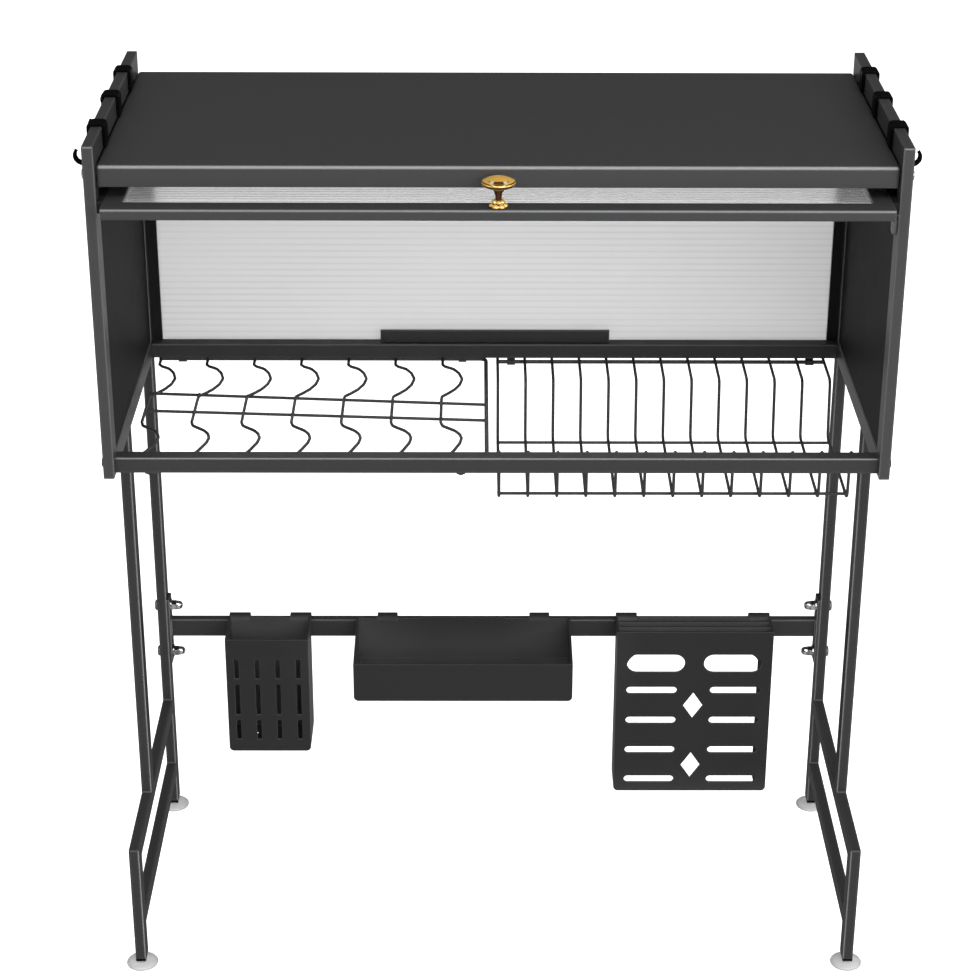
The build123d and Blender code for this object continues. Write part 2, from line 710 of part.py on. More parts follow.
# Door frame: rails and stiles with a groove that holds the ribbed sheet, bored to turn on its pins
door_window_width = 2 * (door_half_width - door_stile)
door_window_front = door_front_y + door_front_rail
door_window_rear = door_front_y + door_length - door_stile
door_window_y = (door_window_front + door_window_rear) / 2
door_window_length = door_window_rear - door_window_front
door_groove_height = ribbed_thickness + 2 * fit_gap
with BuildPart() as door_frame:
    with BuildSketch(Plane.XY.offset(pivot_z - door_thickness / 2)):
        with Locations((0, door_front_y + door_length / 2)):
            Rectangle(2 * door_half_width, door_length)
    extrude(amount=door_thickness)
    fillet(door_frame.edges().filter_by(Axis.X), door_edge)
    with BuildSketch(Plane.XY.offset(pivot_z - door_thickness / 2)):
        with Locations((0, door_window_y)):
            Rectangle(door_window_width, door_window_length)
    extrude(amount=door_thickness, mode=Mode.SUBTRACT)
    with BuildSketch(Plane.XY.offset(pivot_z - door_groove_height / 2)):
        with Locations((0, door_window_y)):
            Rectangle(door_window_width + 2 * door_groove, door_window_length + 2 * door_groove)
    extrude(amount=door_groove_height, mode=Mode.SUBTRACT)
    with BuildSketch(Plane.YZ.offset(-door_half_width)):
        with Locations((pivot_y, pivot_z)):
            Circle(pivot_pin_radius + pivot_running_gap)
    extrude(amount=pivot_pin_length + fit_gap, mode=Mode.SUBTRACT)
    with BuildSketch(Plane.YZ.offset(door_half_width)):
        with Locations((pivot_y, pivot_z)):
            Circle(pivot_pin_radius + pivot_running_gap)
    extrude(amount=-pivot_pin_length - fit_gap, mode=Mode.SUBTRACT)
    with BuildSketch(Plane.XY.offset(pivot_z - door_thickness / 2)):
        with Locations((0, knob_y)):
            Circle(small_screw_radius + thread_clearance)
    extrude(amount=door_thickness, mode=Mode.SUBTRACT)
door_frame.part.label = "door_frame"
export_step(door_frame.part, "parts/door_frame.step")

# Ribbed sheet in the door, its ribs on the upper side
door_panel_half = door_window_width / 2 + door_groove - fit_gap
door_panel_length = door_window_length + 2 * (door_groove - fit_gap)
with BuildPart() as door_panel:
    with BuildSketch(Plane(origin=(-door_panel_half, door_window_y, pivot_z), x_dir=(0, 1, 0),
                           z_dir=(1, 0, 0))):
        add(ribbed_profile(door_panel_length))
    extrude(amount=2 * door_panel_half)
door_panel.part.label = "door_panel"
export_step(door_panel.part, "parts/door_panel.step")

# Pivot pins, fast in the glides, that the door turns on
pin_reach = inner_x - channel_wall - 2 * glide_gap
with BuildPart() as door_pins:
    with BuildSketch(Plane.YZ.offset(door_half_width - pivot_pin_length)):
        with Locations((pivot_y, pivot_z)):
            Circle(pivot_pin_radius)
    extrude(amount=pin_reach - door_half_width + pivot_pin_length)
    mirror(about=Plane.YZ)
door_pins.part.label = "door_pins"
export_step(door_pins.part, "parts/door_pins.step")

# Glides: blocks that run in the channels and hold the pins
glide_front = inner_x - channel_depth + fit_gap
glide_thickness = channel_depth - channel_wall - fit_gap - glide_gap
with BuildPart() as door_glides:
    with BuildSketch(Plane.YZ.offset(glide_front)):
        with Locations((pivot_y, pivot_z)):
            RectangleRounded(glide_length, glide_height, tube_corner)
            Circle(pivot_pin_radius, mode=Mode.SUBTRACT)
    extrude(amount=glide_thickness)
    mirror(about=Plane.YZ)
door_glides.part.label = "door_glides"
export_step(door_glides.part, "parts/door_glides.step")

# Door channels along the side frames, closed at the front end
channel_slot = glide_height + 2 * glide_gap
channel_start = front_y + channel_start_setback
channel_length = cabinet_depth - channel_start_setback - channel_end_setback
for name, side in sides.items():
    face = Plane(origin=(side * inner_x, channel_start, pivot_z), x_dir=(side, 0, 0), z_dir=(0, 1, 0))
    with BuildPart() as door_channel:
        with BuildSketch(face):
            with Locations((-channel_depth / 2, 0)):
                Rectangle(channel_depth, channel_slot + 2 * channel_wall)
        extrude(amount=channel_length)
        with BuildSketch(face.offset(channel_wall)):
            with Locations((-channel_depth / 2 - channel_wall, 0)):
                Rectangle(channel_depth, channel_slot)
        extrude(amount=channel_length, mode=Mode.SUBTRACT)
    door_channel.part.label = f"door_channel_{name}"
    export_step(door_channel.part, f"parts/door_channel_{name}.step")

# Knob: a domed head on a collar and a slim stem
knob_base = door_top
head_bottom = knob_height - knob_head_height
with BuildPart() as door_knob:
    with BuildSketch(Plane.XZ.offset(-knob_y)):
        with BuildLine():
            Polyline((0, knob_base), (knob_stem_radius, knob_base),
                     (knob_stem_radius, knob_base + head_bottom - knob_collar_height),
                     (knob_collar_radius, knob_base + head_bottom - knob_collar_height),
                     (knob_collar_radius, knob_base + head_bottom),
                     (knob_head_radius, knob_base + head_bottom + knob_rim_height))
            TangentArc((0, knob_base + knob_height),
                       (knob_head_radius, knob_base + head_bottom + knob_rim_height), tangent=(1, 0))
            Line((0, knob_base + knob_height), (0, knob_base))
        make_face()
    revolve(axis=Axis((0, knob_y, 0), (0, 0, 1)))
    with BuildSketch(Plane.XY.offset(knob_base)):
        with Locations((0, knob_y)):
            Circle(small_screw_radius + thread_clearance)
    extrude(amount=head_bottom, mode=Mode.SUBTRACT)
door_knob.part.label = "door_knob"
export_step(door_knob.part, "parts/door_knob.step")

with BuildPart() as knob_rosette:
    with BuildSketch(Plane.XY.offset(knob_base)):
        with Locations((0, knob_y)):
            Circle(rosette_radius)
            with PolarLocations(rosette_radius, rosette_flute_count):
                Circle(rosette_flute_radius, mode=Mode.SUBTRACT)
            Circle(knob_stem_radius + thread_clearance, mode=Mode.SUBTRACT)
    extrude(amount=rosette_height)
knob_rosette.part.label = "knob_rosette"
export_step(knob_rosette.part, "parts/knob_rosette.step")

knob_screw_part = cap_bolt(small_screw_radius, door_thickness + head_bottom - small_head_height,
                           small_head_radius, small_head_height, small_screw_radius / 2,
                           small_head_height / 2)
knob_screw = placed(knob_screw_part, [(0, knob_y, door_top - door_thickness)], (0, 0, -1))[0]
knob_screw.label = "knob_screw"
export_step(knob_screw, "parts/knob_screw.step")

# Door catch: a small plated block on the right front post, with its screw
catch_y = front_y + catch_setback
catch_z = cabinet_top - catch_drop
with BuildPart() as door_catch:
    with BuildSketch(Plane.YZ.offset(inner_x)):
        with Locations((catch_y, catch_z)):
            RectangleRounded(catch_width, catch_height, catch_corner)
            Circle(small_screw_radius + thread_clearance, mode=Mode.SUBTRACT)
    extrude(amount=-catch_thickness)
    with BuildSketch(Plane.YZ.offset(inner_x - catch_thickness)):
        with Locations((catch_y, catch_z)):
            Circle(small_head_radius + fit_gap)
    extrude(amount=small_head_height + fit_gap, mode=Mode.SUBTRACT)
door_catch.part.label = "door_catch"
export_step(door_catch.part, "parts/door_catch.step")

catch_seat = inner_x - catch_thickness + small_head_height + fit_gap
catch_bolt = cap_bolt(small_screw_radius, inner_x - catch_seat, small_head_radius, small_head_height,
                      small_screw_radius / 2, small_head_height / 2)
catch_screw = placed(catch_bolt, [(catch_seat, catch_y, catch_z)], (-1, 0, 0))[0]
catch_screw.label = "catch_screw"
export_step(catch_screw, "parts/catch_screw.step")


def round_wire(points, radii, radius):
    """A bent round wire along a line of points with rounded corners."""
    with BuildPart() as wire:
        with BuildLine() as route:
            if radii:
                FilletPolyline(*points, radius=radii)
            else:
                Line(*points)
        with BuildSketch(Plane(origin=route.line @ 0, z_dir=route.line % 0)):
            Circle(radius)
        sweep(path=route.line)
    return wire.part


# Plate rack: bent wires side by side, welded to wires that run along the rack
plate_bottom_z = plate_wire_z - plate_trough_depth
plate_rear_end = plate_rod_y + rod_radius
plate_front_end = front_bar_y + bar_size / 2 + 2 * fit_gap
plate_points = [
    (0, plate_rear_end, plate_wire_z),
    (0, rear_y - plate_rear_kink_inset, plate_wire_z),
    (0, rear_y - plate_bottom_rear_inset, plate_bottom_z),
    (0, front_y + plate_bottom_front, plate_bottom_z),
    (0, front_y + plate_front_kink_setback, plate_wire_z - plate_front_kink_drop),
    (0, plate_front_end, bar_bottom + wire_radius + fit_gap),
]
plate_wire = round_wire(plate_points, [plate_bend] * (len(plate_points) - 2), wire_radius)
plate_last_wire = plate_first_wire + (plate_wire_count - 1) * plate_wire_pitch
plate_long_z = plate_bottom_z - 2 * wire_radius + weld_sink
plate_long_ys = (rear_y - plate_bottom_rear_inset - plate_bend, front_y + plate_front_rail_setback)
with BuildPart() as plate_rack:
    with Locations(*[(plate_first_wire + i * plate_wire_pitch, 0, 0) for i in range(plate_wire_count)]):
        add(plate_wire)
    for y in plate_long_ys:
        add(round_wire([(plate_first_wire - wire_radius, y, plate_long_z),
                        (plate_last_wire + wire_radius, y, plate_long_z)], None, wire_radius))
    add(round_wire([(plate_first_wire - wire_radius, plate_rod_y, plate_rod_z),
                    (plate_last_wire + wire_radius, plate_rod_y, plate_rod_z)], None, rod_radius))
plate_rack.part.label = "plate_rack"
export_step(plate_rack.part, "parts/plate_rack.step")

# Bowl rack: a rod bent round three sides, waved wires across it, of which the first closes the
# fourth side, and two long wires below
rim_corners = [(-bowl_left, bowl_front), (-bowl_right, bowl_front), (-bowl_right, bowl_rear),
               (-bowl_left, bowl_rear)]
lobe_xs = (0, bowl_lobe, 0, 0, bowl_lobe, 0)
lobe_radii = [bowl_turn_radius, bowl_lobe_radius, bowl_turn_radius] * 2
wave_points = [(0, bowl_rear, rack_rod_z),
               *[(dx, front_y + share * cabinet_depth, rack_rod_z)
                 for dx, share in zip(lobe_xs, bowl_lobe_shares)],
               (0, bowl_front, rack_rod_z)]
wave_wire = round_wire(wave_points, lobe_radii, wire_radius)
with BuildPart() as bowl_rack:
    add(round_wire([(x, y, rack_rod_z) for x, y in rim_corners], [bowl_corner] * 2, rod_radius))
    with Locations(*[(i * bowl_wave_pitch - bowl_first_wave, 0, 0) for i in range(bowl_wave_count)]):
        add(wave_wire)
    long_z = rack_rod_z - 2 * wire_radius + weld_sink
    for left_share, right_share in bowl_long_wire_shares:
        add(round_wire([(-bowl_left, front_y + left_share * cabinet_depth, long_z),
                        (-bowl_right, front_y + right_share * cabinet_depth, long_z)], None, wire_radius))
bowl_rack.part.label = "bowl_rack"
export_step(bowl_rack.part, "parts/bowl_rack.step")


# Pieces that hang on the crossbar: open bins of bent sheet with hooks on their rear wall
hook_turn = sqrt((hook_bend_radius - tube_corner - fit_gap) ** 2
                 - (crossbar_thickness / 2 - tube_corner) ** 2)
hook_z = crossbar_top - tube_corner - hook_turn
wall_rear = rear_leg_y - hook_bend_radius
rim_z = crossbar_top + rim_height


def open_bin(left, width, depth, height):
    """An open-topped bin of sheet whose lower corners are rounded, seen from the front."""
    bottom = rim_z - height
    with BuildPart() as body:
        with BuildSketch(Plane.XZ.offset(-wall_rear)) as outline:
            with Locations((left, bottom)):
                Rectangle(width, height, align=(Align.MIN, Align.MIN))
            fillet(outline.vertices().group_by(Axis.Y)[0], bin_corner)
        extrude(amount=depth)
        with BuildSketch(Plane.XZ.offset(-wall_rear + hook_sheet)) as hollow:
            with Locations((left + hook_sheet, bottom + hook_sheet)):
                Rectangle(width - 2 * hook_sheet, height, align=(Align.MIN, Align.MIN))
            fillet(hollow.vertices().group_by(Axis.Y)[0], bin_corner - hook_sheet)
        extrude(amount=depth - 2 * hook_sheet, mode=Mode.SUBTRACT)
    return body.part


def hook_strap(left, width):
    """A strap that bends over the crossbar from a rear wall and down behind the bar."""
    outer = hook_bend_radius + hook_sheet
    with BuildPart() as strap:
        with BuildSketch(Plane.YZ.offset(left)):
            with Locations((rear_leg_y, hook_z)):
                Circle(outer)
                Circle(hook_bend_radius, mode=Mode.SUBTRACT)
                Rectangle(2 * outer, outer, align=(Align.CENTER, Align.MAX), mode=Mode.SUBTRACT)
            with Locations((rear_leg_y + hook_bend_radius, hook_z)):
                Rectangle(hook_sheet, hook_tail, align=(Align.MIN, Align.MAX))
        extrude(amount=width)
    return strap.part


def hook_notch(left, width):
    """The piece of rear wall above the bend that a strap takes the place of."""
    with BuildPart() as notch:
        with BuildSketch(Plane.YZ.offset(left)):
            with Locations((wall_rear - hook_sheet, hook_z)):
                Rectangle(hook_sheet, rim_z - hook_z + overrun, align=(Align.MIN, Align.MIN))
        extrude(amount=width)
    return notch.part


# Utensil holder, with three rows of slots in its front and drain holes in its floor
utensil_x = utensil_end_gap - inner_x
utensil_middle = utensil_x + utensil_width / 2
utensil_front = wall_rear - utensil_depth
utensil_hooks = (utensil_x, utensil_x + utensil_width - utensil_hook_width)
with BuildPart() as utensil_holder:
    add(open_bin(utensil_x, utensil_width, utensil_depth, utensil_height))
    for left in utensil_hooks:
        add(hook_notch(left, utensil_hook_width), mode=Mode.SUBTRACT)
        add(hook_strap(left, utensil_hook_width))
    slot_top = rim_z - utensil_slot_top
    for slot_height, slot_gap in zip(utensil_slot_heights, (*utensil_slot_gaps, 0)):
        with BuildSketch(Plane.XZ.offset(-utensil_front - hook_sheet)):
            with Locations((utensil_middle, slot_top - slot_height / 2)):
                with GridLocations(utensil_slot_pitch, utensil_slot_pitch, utensil_slot_columns, 1):
                    Rectangle(utensil_slot_width, slot_height)
        extrude(amount=hook_sheet, mode=Mode.SUBTRACT)
        slot_top -= slot_height + slot_gap
    with BuildSketch(Plane.XY.offset(rim_z - utensil_height)):
        with Locations((utensil_middle, wall_rear - utensil_depth / 2)):
            with GridLocations(drain_pitch, drain_pitch, 3, 2):
                Circle(drain_radius)
    extrude(amount=hook_sheet, mode=Mode.SUBTRACT)
utensil_holder.part.label = "utensil_holder"
export_step(utensil_holder.part, "parts/utensil_holder.step")

# Tray: its side walls fall towards the front, and the middle of its rear wall stands a little higher
tray_x = -tray_left
tray_front = wall_rear - tray_depth
tray_hooks = (tray_x + tray_hook_inset, tray_x + tray_width - tray_hook_inset - tray_hook_width)
with BuildPart() as tray:
    add(open_bin(tray_x, tray_width, tray_depth, tray_height))
    with BuildSketch(Plane.YZ.offset(tray_x)):
        with BuildLine():
            Polyline((tray_front, rim_z + overrun), (tray_front, rim_z - tray_front_drop),
                     (tray_front + hook_sheet, rim_z - tray_front_drop),
                     (wall_rear - hook_sheet, rim_z), (wall_rear - hook_sheet, rim_z + overrun),
                     close=True)
        make_face()
    extrude(amount=tray_width, mode=Mode.SUBTRACT)
    with BuildSketch(Plane.XZ.offset(-wall_rear)):
        for crest_left in (tray_x, tray_x + tray_crest_inset + tray_crest_width):
            crest_end = tray_x + tray_crest_inset if crest_left == tray_x else tray_x + tray_width
            with Locations((crest_left, rim_z)):
                Rectangle(crest_end - crest_left, tray_crest_height, align=(Align.MIN, Align.MAX))
    extrude(amount=hook_sheet, mode=Mode.SUBTRACT)
    for left in tray_hooks:
        add(hook_notch(left, tray_hook_width), mode=Mode.SUBTRACT)
        add(hook_strap(left, tray_hook_width))
tray.part.label = "tray"
export_step(tray.part, "parts/tray.step")

# Board rack: a slotted front, plain sides and upright dividers with a wide window and an open floor
board_right = inner_x - board_end_gap
board_left = board_right - board_width
board_middle = board_left + board_width / 2
board_bottom = rim_z - board_height
board_front = wall_rear - board_depth
board_hooks = (board_left + board_hook_inset, board_right - board_hook_inset - board_hook_width)
divider_pitch = (board_depth - hook_sheet) / (board_divider_count + 1)
with BuildPart() as board_rack:
    add(open_bin(board_left, board_width, board_depth, board_height))
    for i in range(board_divider_count):
        with BuildSketch(Plane.XZ.offset(-wall_rear + (i + 1) * divider_pitch)):
            with Locations((board_middle, rim_z)):
                Rectangle(board_width - 2 * hook_sheet, board_height - bin_corner,
                          align=(Align.CENTER, Align.MAX))
        extrude(amount=hook_sheet)
    with BuildSketch(Plane.XZ.offset(-wall_rear)) as window:
        with Locations((board_middle, rim_z - board_window_drop)):
            Rectangle(board_width - 2 * board_ledge, board_height, align=(Align.CENTER, Align.MAX))
        fillet(window.vertices().group_by(Axis.Y)[-1], board_window_corner)
    extrude(amount=board_depth - hook_sheet, mode=Mode.SUBTRACT)
    with BuildSketch(Plane.XZ.offset(-board_front - hook_sheet)):
        handle_slot_length = handle_slot_share * board_width
        handle_offset = board_width / 2 - slot_margin - handle_slot_length / 2
        with Locations((board_middle, rim_z - handle_slot_drop - handle_slot_height / 2)):
            with GridLocations(2 * handle_offset, handle_slot_height, 2, 1):
                SlotOverall(handle_slot_length, handle_slot_height)
        thin_slot_length = thin_slot_share * board_width
        thin_offset = board_width / 2 - slot_margin - thin_slot_length / 2
        for i in range(thin_slot_rows):
            with Locations((board_middle, rim_z - thin_slot_drop - i * thin_slot_pitch)):
                with GridLocations(2 * thin_offset, thin_slot_height, 2, 1):
                    SlotOverall(thin_slot_length, thin_slot_height)
        for drop in (diamond_drop, diamond_drop + diamond_pitch):
            diamond_z = rim_z - drop
            with BuildLine():
                Polyline((board_middle, diamond_z + diamond_half_height),
                         (board_middle + diamond_half_width, diamond_z),
                         (board_middle, diamond_z - diamond_half_height),
                         (board_middle - diamond_half_width, diamond_z), close=True)
            make_face()
    extrude(amount=hook_sheet, mode=Mode.SUBTRACT)
    for left in board_hooks:
        add(hook_notch(left, board_hook_width), mode=Mode.SUBTRACT)
        add(hook_strap(left, board_hook_width))
board_rack.part.label = "board_rack"
export_step(board_rack.part, "parts/board_rack.step")

# Side hooks: straps bent over the top rails, with a curl outside
strap_middle = side_hook_sheet / 2
hook_inner = inner_x - fit_gap - strap_middle
hook_outer = outer_x + fit_gap + strap_middle
hook_top = cabinet_top + fit_gap + strap_middle
curl_radius = side_hook_curl + strap_middle
curl_z = hook_top - side_hook_drop - strap_middle
bend = side_hook_bend + strap_middle
side_hook_setbacks = {"front": side_hook_front_setback,
                      "middle": cabinet_depth / 2 + side_hook_middle_offset,
                      "rear": cabinet_depth - side_hook_rear_inset}
for name, side in sides.items():
    for place, setback in side_hook_setbacks.items():
        with BuildPart() as side_hook:
            with BuildSketch(Plane.XZ.offset(-front_y - setback + side_hook_width / -2)):
                with BuildLine():
                    FilletPolyline((side * hook_inner, top_panel_top + side_hook_inner_gap),
                                   (side * hook_inner, hook_top), (side * hook_outer, hook_top),
                                   (side * hook_outer, curl_z), radius=bend)
                    far_x = side * (hook_outer + 2 * curl_radius)
                    ThreePointArc((side * hook_outer, curl_z),
                                  (side * (hook_outer + curl_radius), curl_z - curl_radius),
                                  (far_x, curl_z))
                    Line((far_x, curl_z), (far_x, curl_z + side_hook_lip))
                trace(line_width=side_hook_sheet)
            extrude(amount=side_hook_width)
        side_hook.part.label = f"side_hook_{place}_{name}"
        export_step(side_hook.part, f"parts/side_hook_{place}_{name}.step")

# Clips that hold the wire racks' rods under the bars, and their screws
def rod_clip(x, rod_y, rod_z, radius, toward):
    """A strap under a rod with a lug that lies on the underside of a bar."""
    inner = radius + thread_clearance
    outer = inner + clip_sheet
    face = Plane(origin=(x - clip_width / 2, rod_y, rod_z), x_dir=(0, toward, 0), z_dir=(toward, 0, 0))
    start = face if toward > 0 else face.offset(-clip_width)
    drop = bar_bottom - rod_z
    with BuildPart() as clip:
        with BuildSketch(start):
            Circle(outer)
            Rectangle(2 * outer, 2 * outer, align=(Align.CENTER, Align.MIN), mode=Mode.SUBTRACT)
            with Locations((inner, 0)):
                Rectangle(clip_sheet, drop, align=(Align.MIN, Align.MIN))
            with Locations((inner, drop)):
                Rectangle(clip_lug, clip_sheet, align=(Align.MIN, Align.MAX))
            Circle(inner, mode=Mode.SUBTRACT)
        extrude(amount=clip_width)
        with BuildSketch(Plane.XY.offset(bar_bottom)):
            with Locations((x, rod_y + toward * clip_screw_reach(radius))):
                Circle(small_screw_radius + thread_clearance)
        extrude(amount=-clip_sheet, mode=Mode.SUBTRACT)
    return clip.part


clip_screw = cap_bolt(small_screw_radius, clip_sheet + bar_wall + small_head_height, small_head_radius,
                      small_head_height, small_screw_radius / 2, small_head_height / 2)
clip_solids = []
clip_screw_places = []
for x, rod_y, rod_z, radius, toward in clip_seats:
    clip_solids.append(rod_clip(x, rod_y, rod_z, radius, toward).solid())
    screw_y = rod_y + toward * clip_screw_reach(radius)
    clip_screw_places.append((x, screw_y, bar_bottom - clip_sheet))
rack_clips = Compound(clip_solids)
rack_clips.label = "rack_clips"
export_step(rack_clips, "parts/rack_clips.step")
clip_screws = Compound([screw.solid() for screw in placed(clip_screw, clip_screw_places, (0, 0, -1))])
clip_screws.label = "rack_clip_screws"
export_step(clip_screws, "parts/rack_clip_screws.step")
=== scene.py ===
import json
from math import cos, pi, radians, sin

import bmesh
import bpy
from mathutils import Matrix, Vector


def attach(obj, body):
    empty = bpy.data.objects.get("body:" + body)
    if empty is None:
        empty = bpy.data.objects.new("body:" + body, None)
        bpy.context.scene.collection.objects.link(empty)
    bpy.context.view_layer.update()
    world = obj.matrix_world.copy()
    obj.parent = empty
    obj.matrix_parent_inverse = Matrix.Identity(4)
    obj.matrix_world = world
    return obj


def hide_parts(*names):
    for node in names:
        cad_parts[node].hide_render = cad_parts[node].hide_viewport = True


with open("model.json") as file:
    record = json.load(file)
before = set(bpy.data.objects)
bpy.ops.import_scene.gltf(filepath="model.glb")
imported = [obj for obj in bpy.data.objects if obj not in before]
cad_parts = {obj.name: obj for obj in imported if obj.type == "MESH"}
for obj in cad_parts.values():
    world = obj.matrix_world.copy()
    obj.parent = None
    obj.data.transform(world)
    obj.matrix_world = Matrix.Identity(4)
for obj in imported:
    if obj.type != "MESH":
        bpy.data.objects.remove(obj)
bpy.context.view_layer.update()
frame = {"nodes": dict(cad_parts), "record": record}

# Over sink dish rack, in metres. X runs across the sink, Y from the front to the back and Z up from
# the ground. Outlines are written in millimetres, and a setback is a depth in millimetres behind
# the cabinet's front plane.
mm = 0.001
front_plane = -140.95 * mm
sides = (("left", -1), ("right", 1))

# Camera, solved from the photograph's vanishing points
image_side = 980
focal_pixels = 2461.16
sensor_width = 36.0
camera_place = Vector((-19.24, -2156.05, 1471.65)) * mm
camera_yaw = radians(0.37)
camera_drop = radians(25.25)
camera_roll = radians(-0.22)

# Wires
wire_radius = 1.5 * mm
rod_radius = 2.0 * mm
wire_sides = 12
bend_steps = 7

# Weld spots, each a little uneven in size
weld_radius = 1.1 * wire_radius
weld_segments = 10
weld_rings = 6
weld_least = (0.85, 0.85, 0.7)
weld_most = (1.15, 1.15, 0.9)
weld_seed = 7

# Bars under which the wire racks hang
bar_bottom = 534.0 * mm
rod_sink = 0.3 * mm
weld_sink = 0.4 * mm

turning_steps = 64
scene = bpy.context.scene


def set_back(distance):
    """The Y of a place at a setback."""
    return front_plane + distance * mm


# Meshes and pieces
def add_object(name, data):
    """An object in the scene around a mesh, lamp or camera."""
    made = bpy.data.objects.new(name, data)
    scene.collection.objects.link(made)
    return made


def mesh_object(name, vertices, edges=(), faces=()):
    mesh = bpy.data.meshes.new(name)
    mesh.from_pydata([Vector(v) for v in vertices], list(edges), list(faces))
    mesh.update()
    return add_object(name, mesh)


def bmesh_object(name, work, materials=()):
    """An object from a bmesh, which is freed."""
    mesh = bpy.data.meshes.new(name)
    work.to_mesh(mesh)
    work.free()
    for material in materials:
        mesh.materials.append(material)
    return add_object(name, mesh)


def set_out(thing, body, replaced, smooth_angle=35.0):
    """Shade a finished piece smooth, give it its body and hide the CAD nodes that it stands for."""
    mesh = thing.data
    mesh.shade_smooth()
    mesh.set_sharp_from_angle(angle=radians(smooth_angle))
    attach(thing, body)
    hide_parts(*replaced)


def joined(name, things):
    """One object from several plain mesh objects, each of one material."""
    work = bmesh.new()
    materials = []
    for thing in things:
        first = len(work.faces)
        work.from_mesh(thing.data)
        work.faces.ensure_lookup_table()
        material = [material for material in thing.data.materials if material][0]
        if material not in materials:
            materials.append(material)
        for face in work.faces[first:]:
            face.material_index = materials.index(material)
        bpy.data.objects.remove(thing)
    return bmesh_object(name, work, materials)


def skinned(name, rings):
    """A closed solid through rings of points, each with as many points as the next."""
    count = len(rings[0])
    vertices = [point for ring in rings for point in ring]
    faces = [tuple(range(count))[::-1], tuple(range(len(vertices) - count, len(vertices)))]
    for start in range(0, len(vertices) - count, count):
        for i in range(count):
            j = (i + 1) % count
            faces.append((start + i, start + j, start + count + j, start + count + i))
    return mesh_object(name, vertices, faces=faces)


def turned(name, profile, centre, steps=turning_steps):
    """A closed solid turned from (radius, height) pairs that start and end on the axis."""
    vertices = []
    rings = []
    for radius, height in profile:
        if radius == 0.0:
            rings.append([len(vertices)])
            vertices.append((centre[0], centre[1], height))
            continue
        rings.append(list(range(len(vertices), len(vertices) + steps)))
        for i in range(steps):
            angle = 2 * pi * i / steps
            vertices.append((centre[0] + radius * cos(angle), centre[1] + radius * sin(angle),
                             height))
    faces = []
    for lower, upper in zip(rings, rings[1:]):
        for i in range(steps):
            j = (i + 1) % steps
            if len(lower) == 1:
                faces.append((lower[0], upper[j], upper[i]))
            elif len(upper) == 1:
                faces.append((lower[i], lower[j], upper[0]))
            else:
                faces.append((lower[i], lower[j], upper[j], upper[i]))
    return mesh_object(name, vertices, faces=faces)


def arc(centre, radius, first, last, steps):
    """Points of an arc in a plane, from one angle to another in degrees."""
    angles = [radians(first + (last - first) * i / steps) for i in range(steps + 1)]
    return [(centre[0] + radius * cos(a), centre[1] + radius * sin(a)) for a in angles]


def to_metres(points):
    return [(first * mm, second * mm) for first, second in points]


# Node trees. What feeds a node is a value or another node's output.
grid_columns = 8
grid_step = 220.0


def feed(tree, target, source):
    if isinstance(source, bpy.types.NodeSocket):
        tree.links.new(source, target)
    else:
        target.default_value = source


def node(tree, kind, feeds=None, **settings):
    """A node in the next place of a grid, with its settings and what feeds its inputs."""
    row, column = divmod(len(tree.nodes), grid_columns)
    made = tree.nodes.new(kind)
    made.location = (column * grid_step, -row * grid_step)
    for key, value in settings.items():
        setattr(made, key, value)
    for key, source in (feeds or {}).items():
        feed(tree, made.inputs[key], source)
    return made


def new_tree(name, kind, inputs, outputs):
    """A node tree with named sockets, each (name, type, value), and its two ends."""
    tree = bpy.data.node_groups.new(name, kind)
    for label, socket, value in inputs:
        made = tree.interface.new_socket(label, in_out="INPUT", socket_type=f"NodeSocket{socket}")
        if value is not None:
            made.default_value = value
    for label, socket in outputs:
        tree.interface.new_socket(label, in_out="OUTPUT", socket_type=f"NodeSocket{socket}")
    return tree, node(tree, "NodeGroupInput").outputs, node(tree, "NodeGroupOutput").inputs


def grown(name, base, tree, **inputs):
    """The plain mesh that a geometry tree makes of a base object; _ stands for a space."""
    modifier = base.modifiers.new(name, "NODES")
    modifier.node_group = tree
    for item in tree.interface.items_tree:
        key = item.name.replace(" ", "_")
        if item.item_type == "SOCKET" and item.in_out == "INPUT" and key in inputs:
            modifier[item.identifier] = inputs[key]
    shown = base.evaluated_get(bpy.context.evaluated_depsgraph_get())
    mesh = bpy.data.meshes.new_from_object(shown)
    base.modifiers.remove(modifier)
    mesh.name = name
    made = add_object(name, mesh)
    bpy.data.objects.remove(base)
    return made


# Geometry trees
def made_real(tree, copies, coat, centre=None):
    """Instances as plain geometry with one material, moved if a centre is given."""
    real = node(tree, "GeometryNodeRealizeInstances", {"Geometry": copies}).outputs["Geometry"]
    if centre is not None:
        real = node(tree, "GeometryNodeTransform",
                    {"Geometry": real, "Translation": centre}).outputs["Geometry"]
    return node(tree, "GeometryNodeSetMaterial",
                {"Geometry": real, "Material": coat}).outputs["Geometry"]


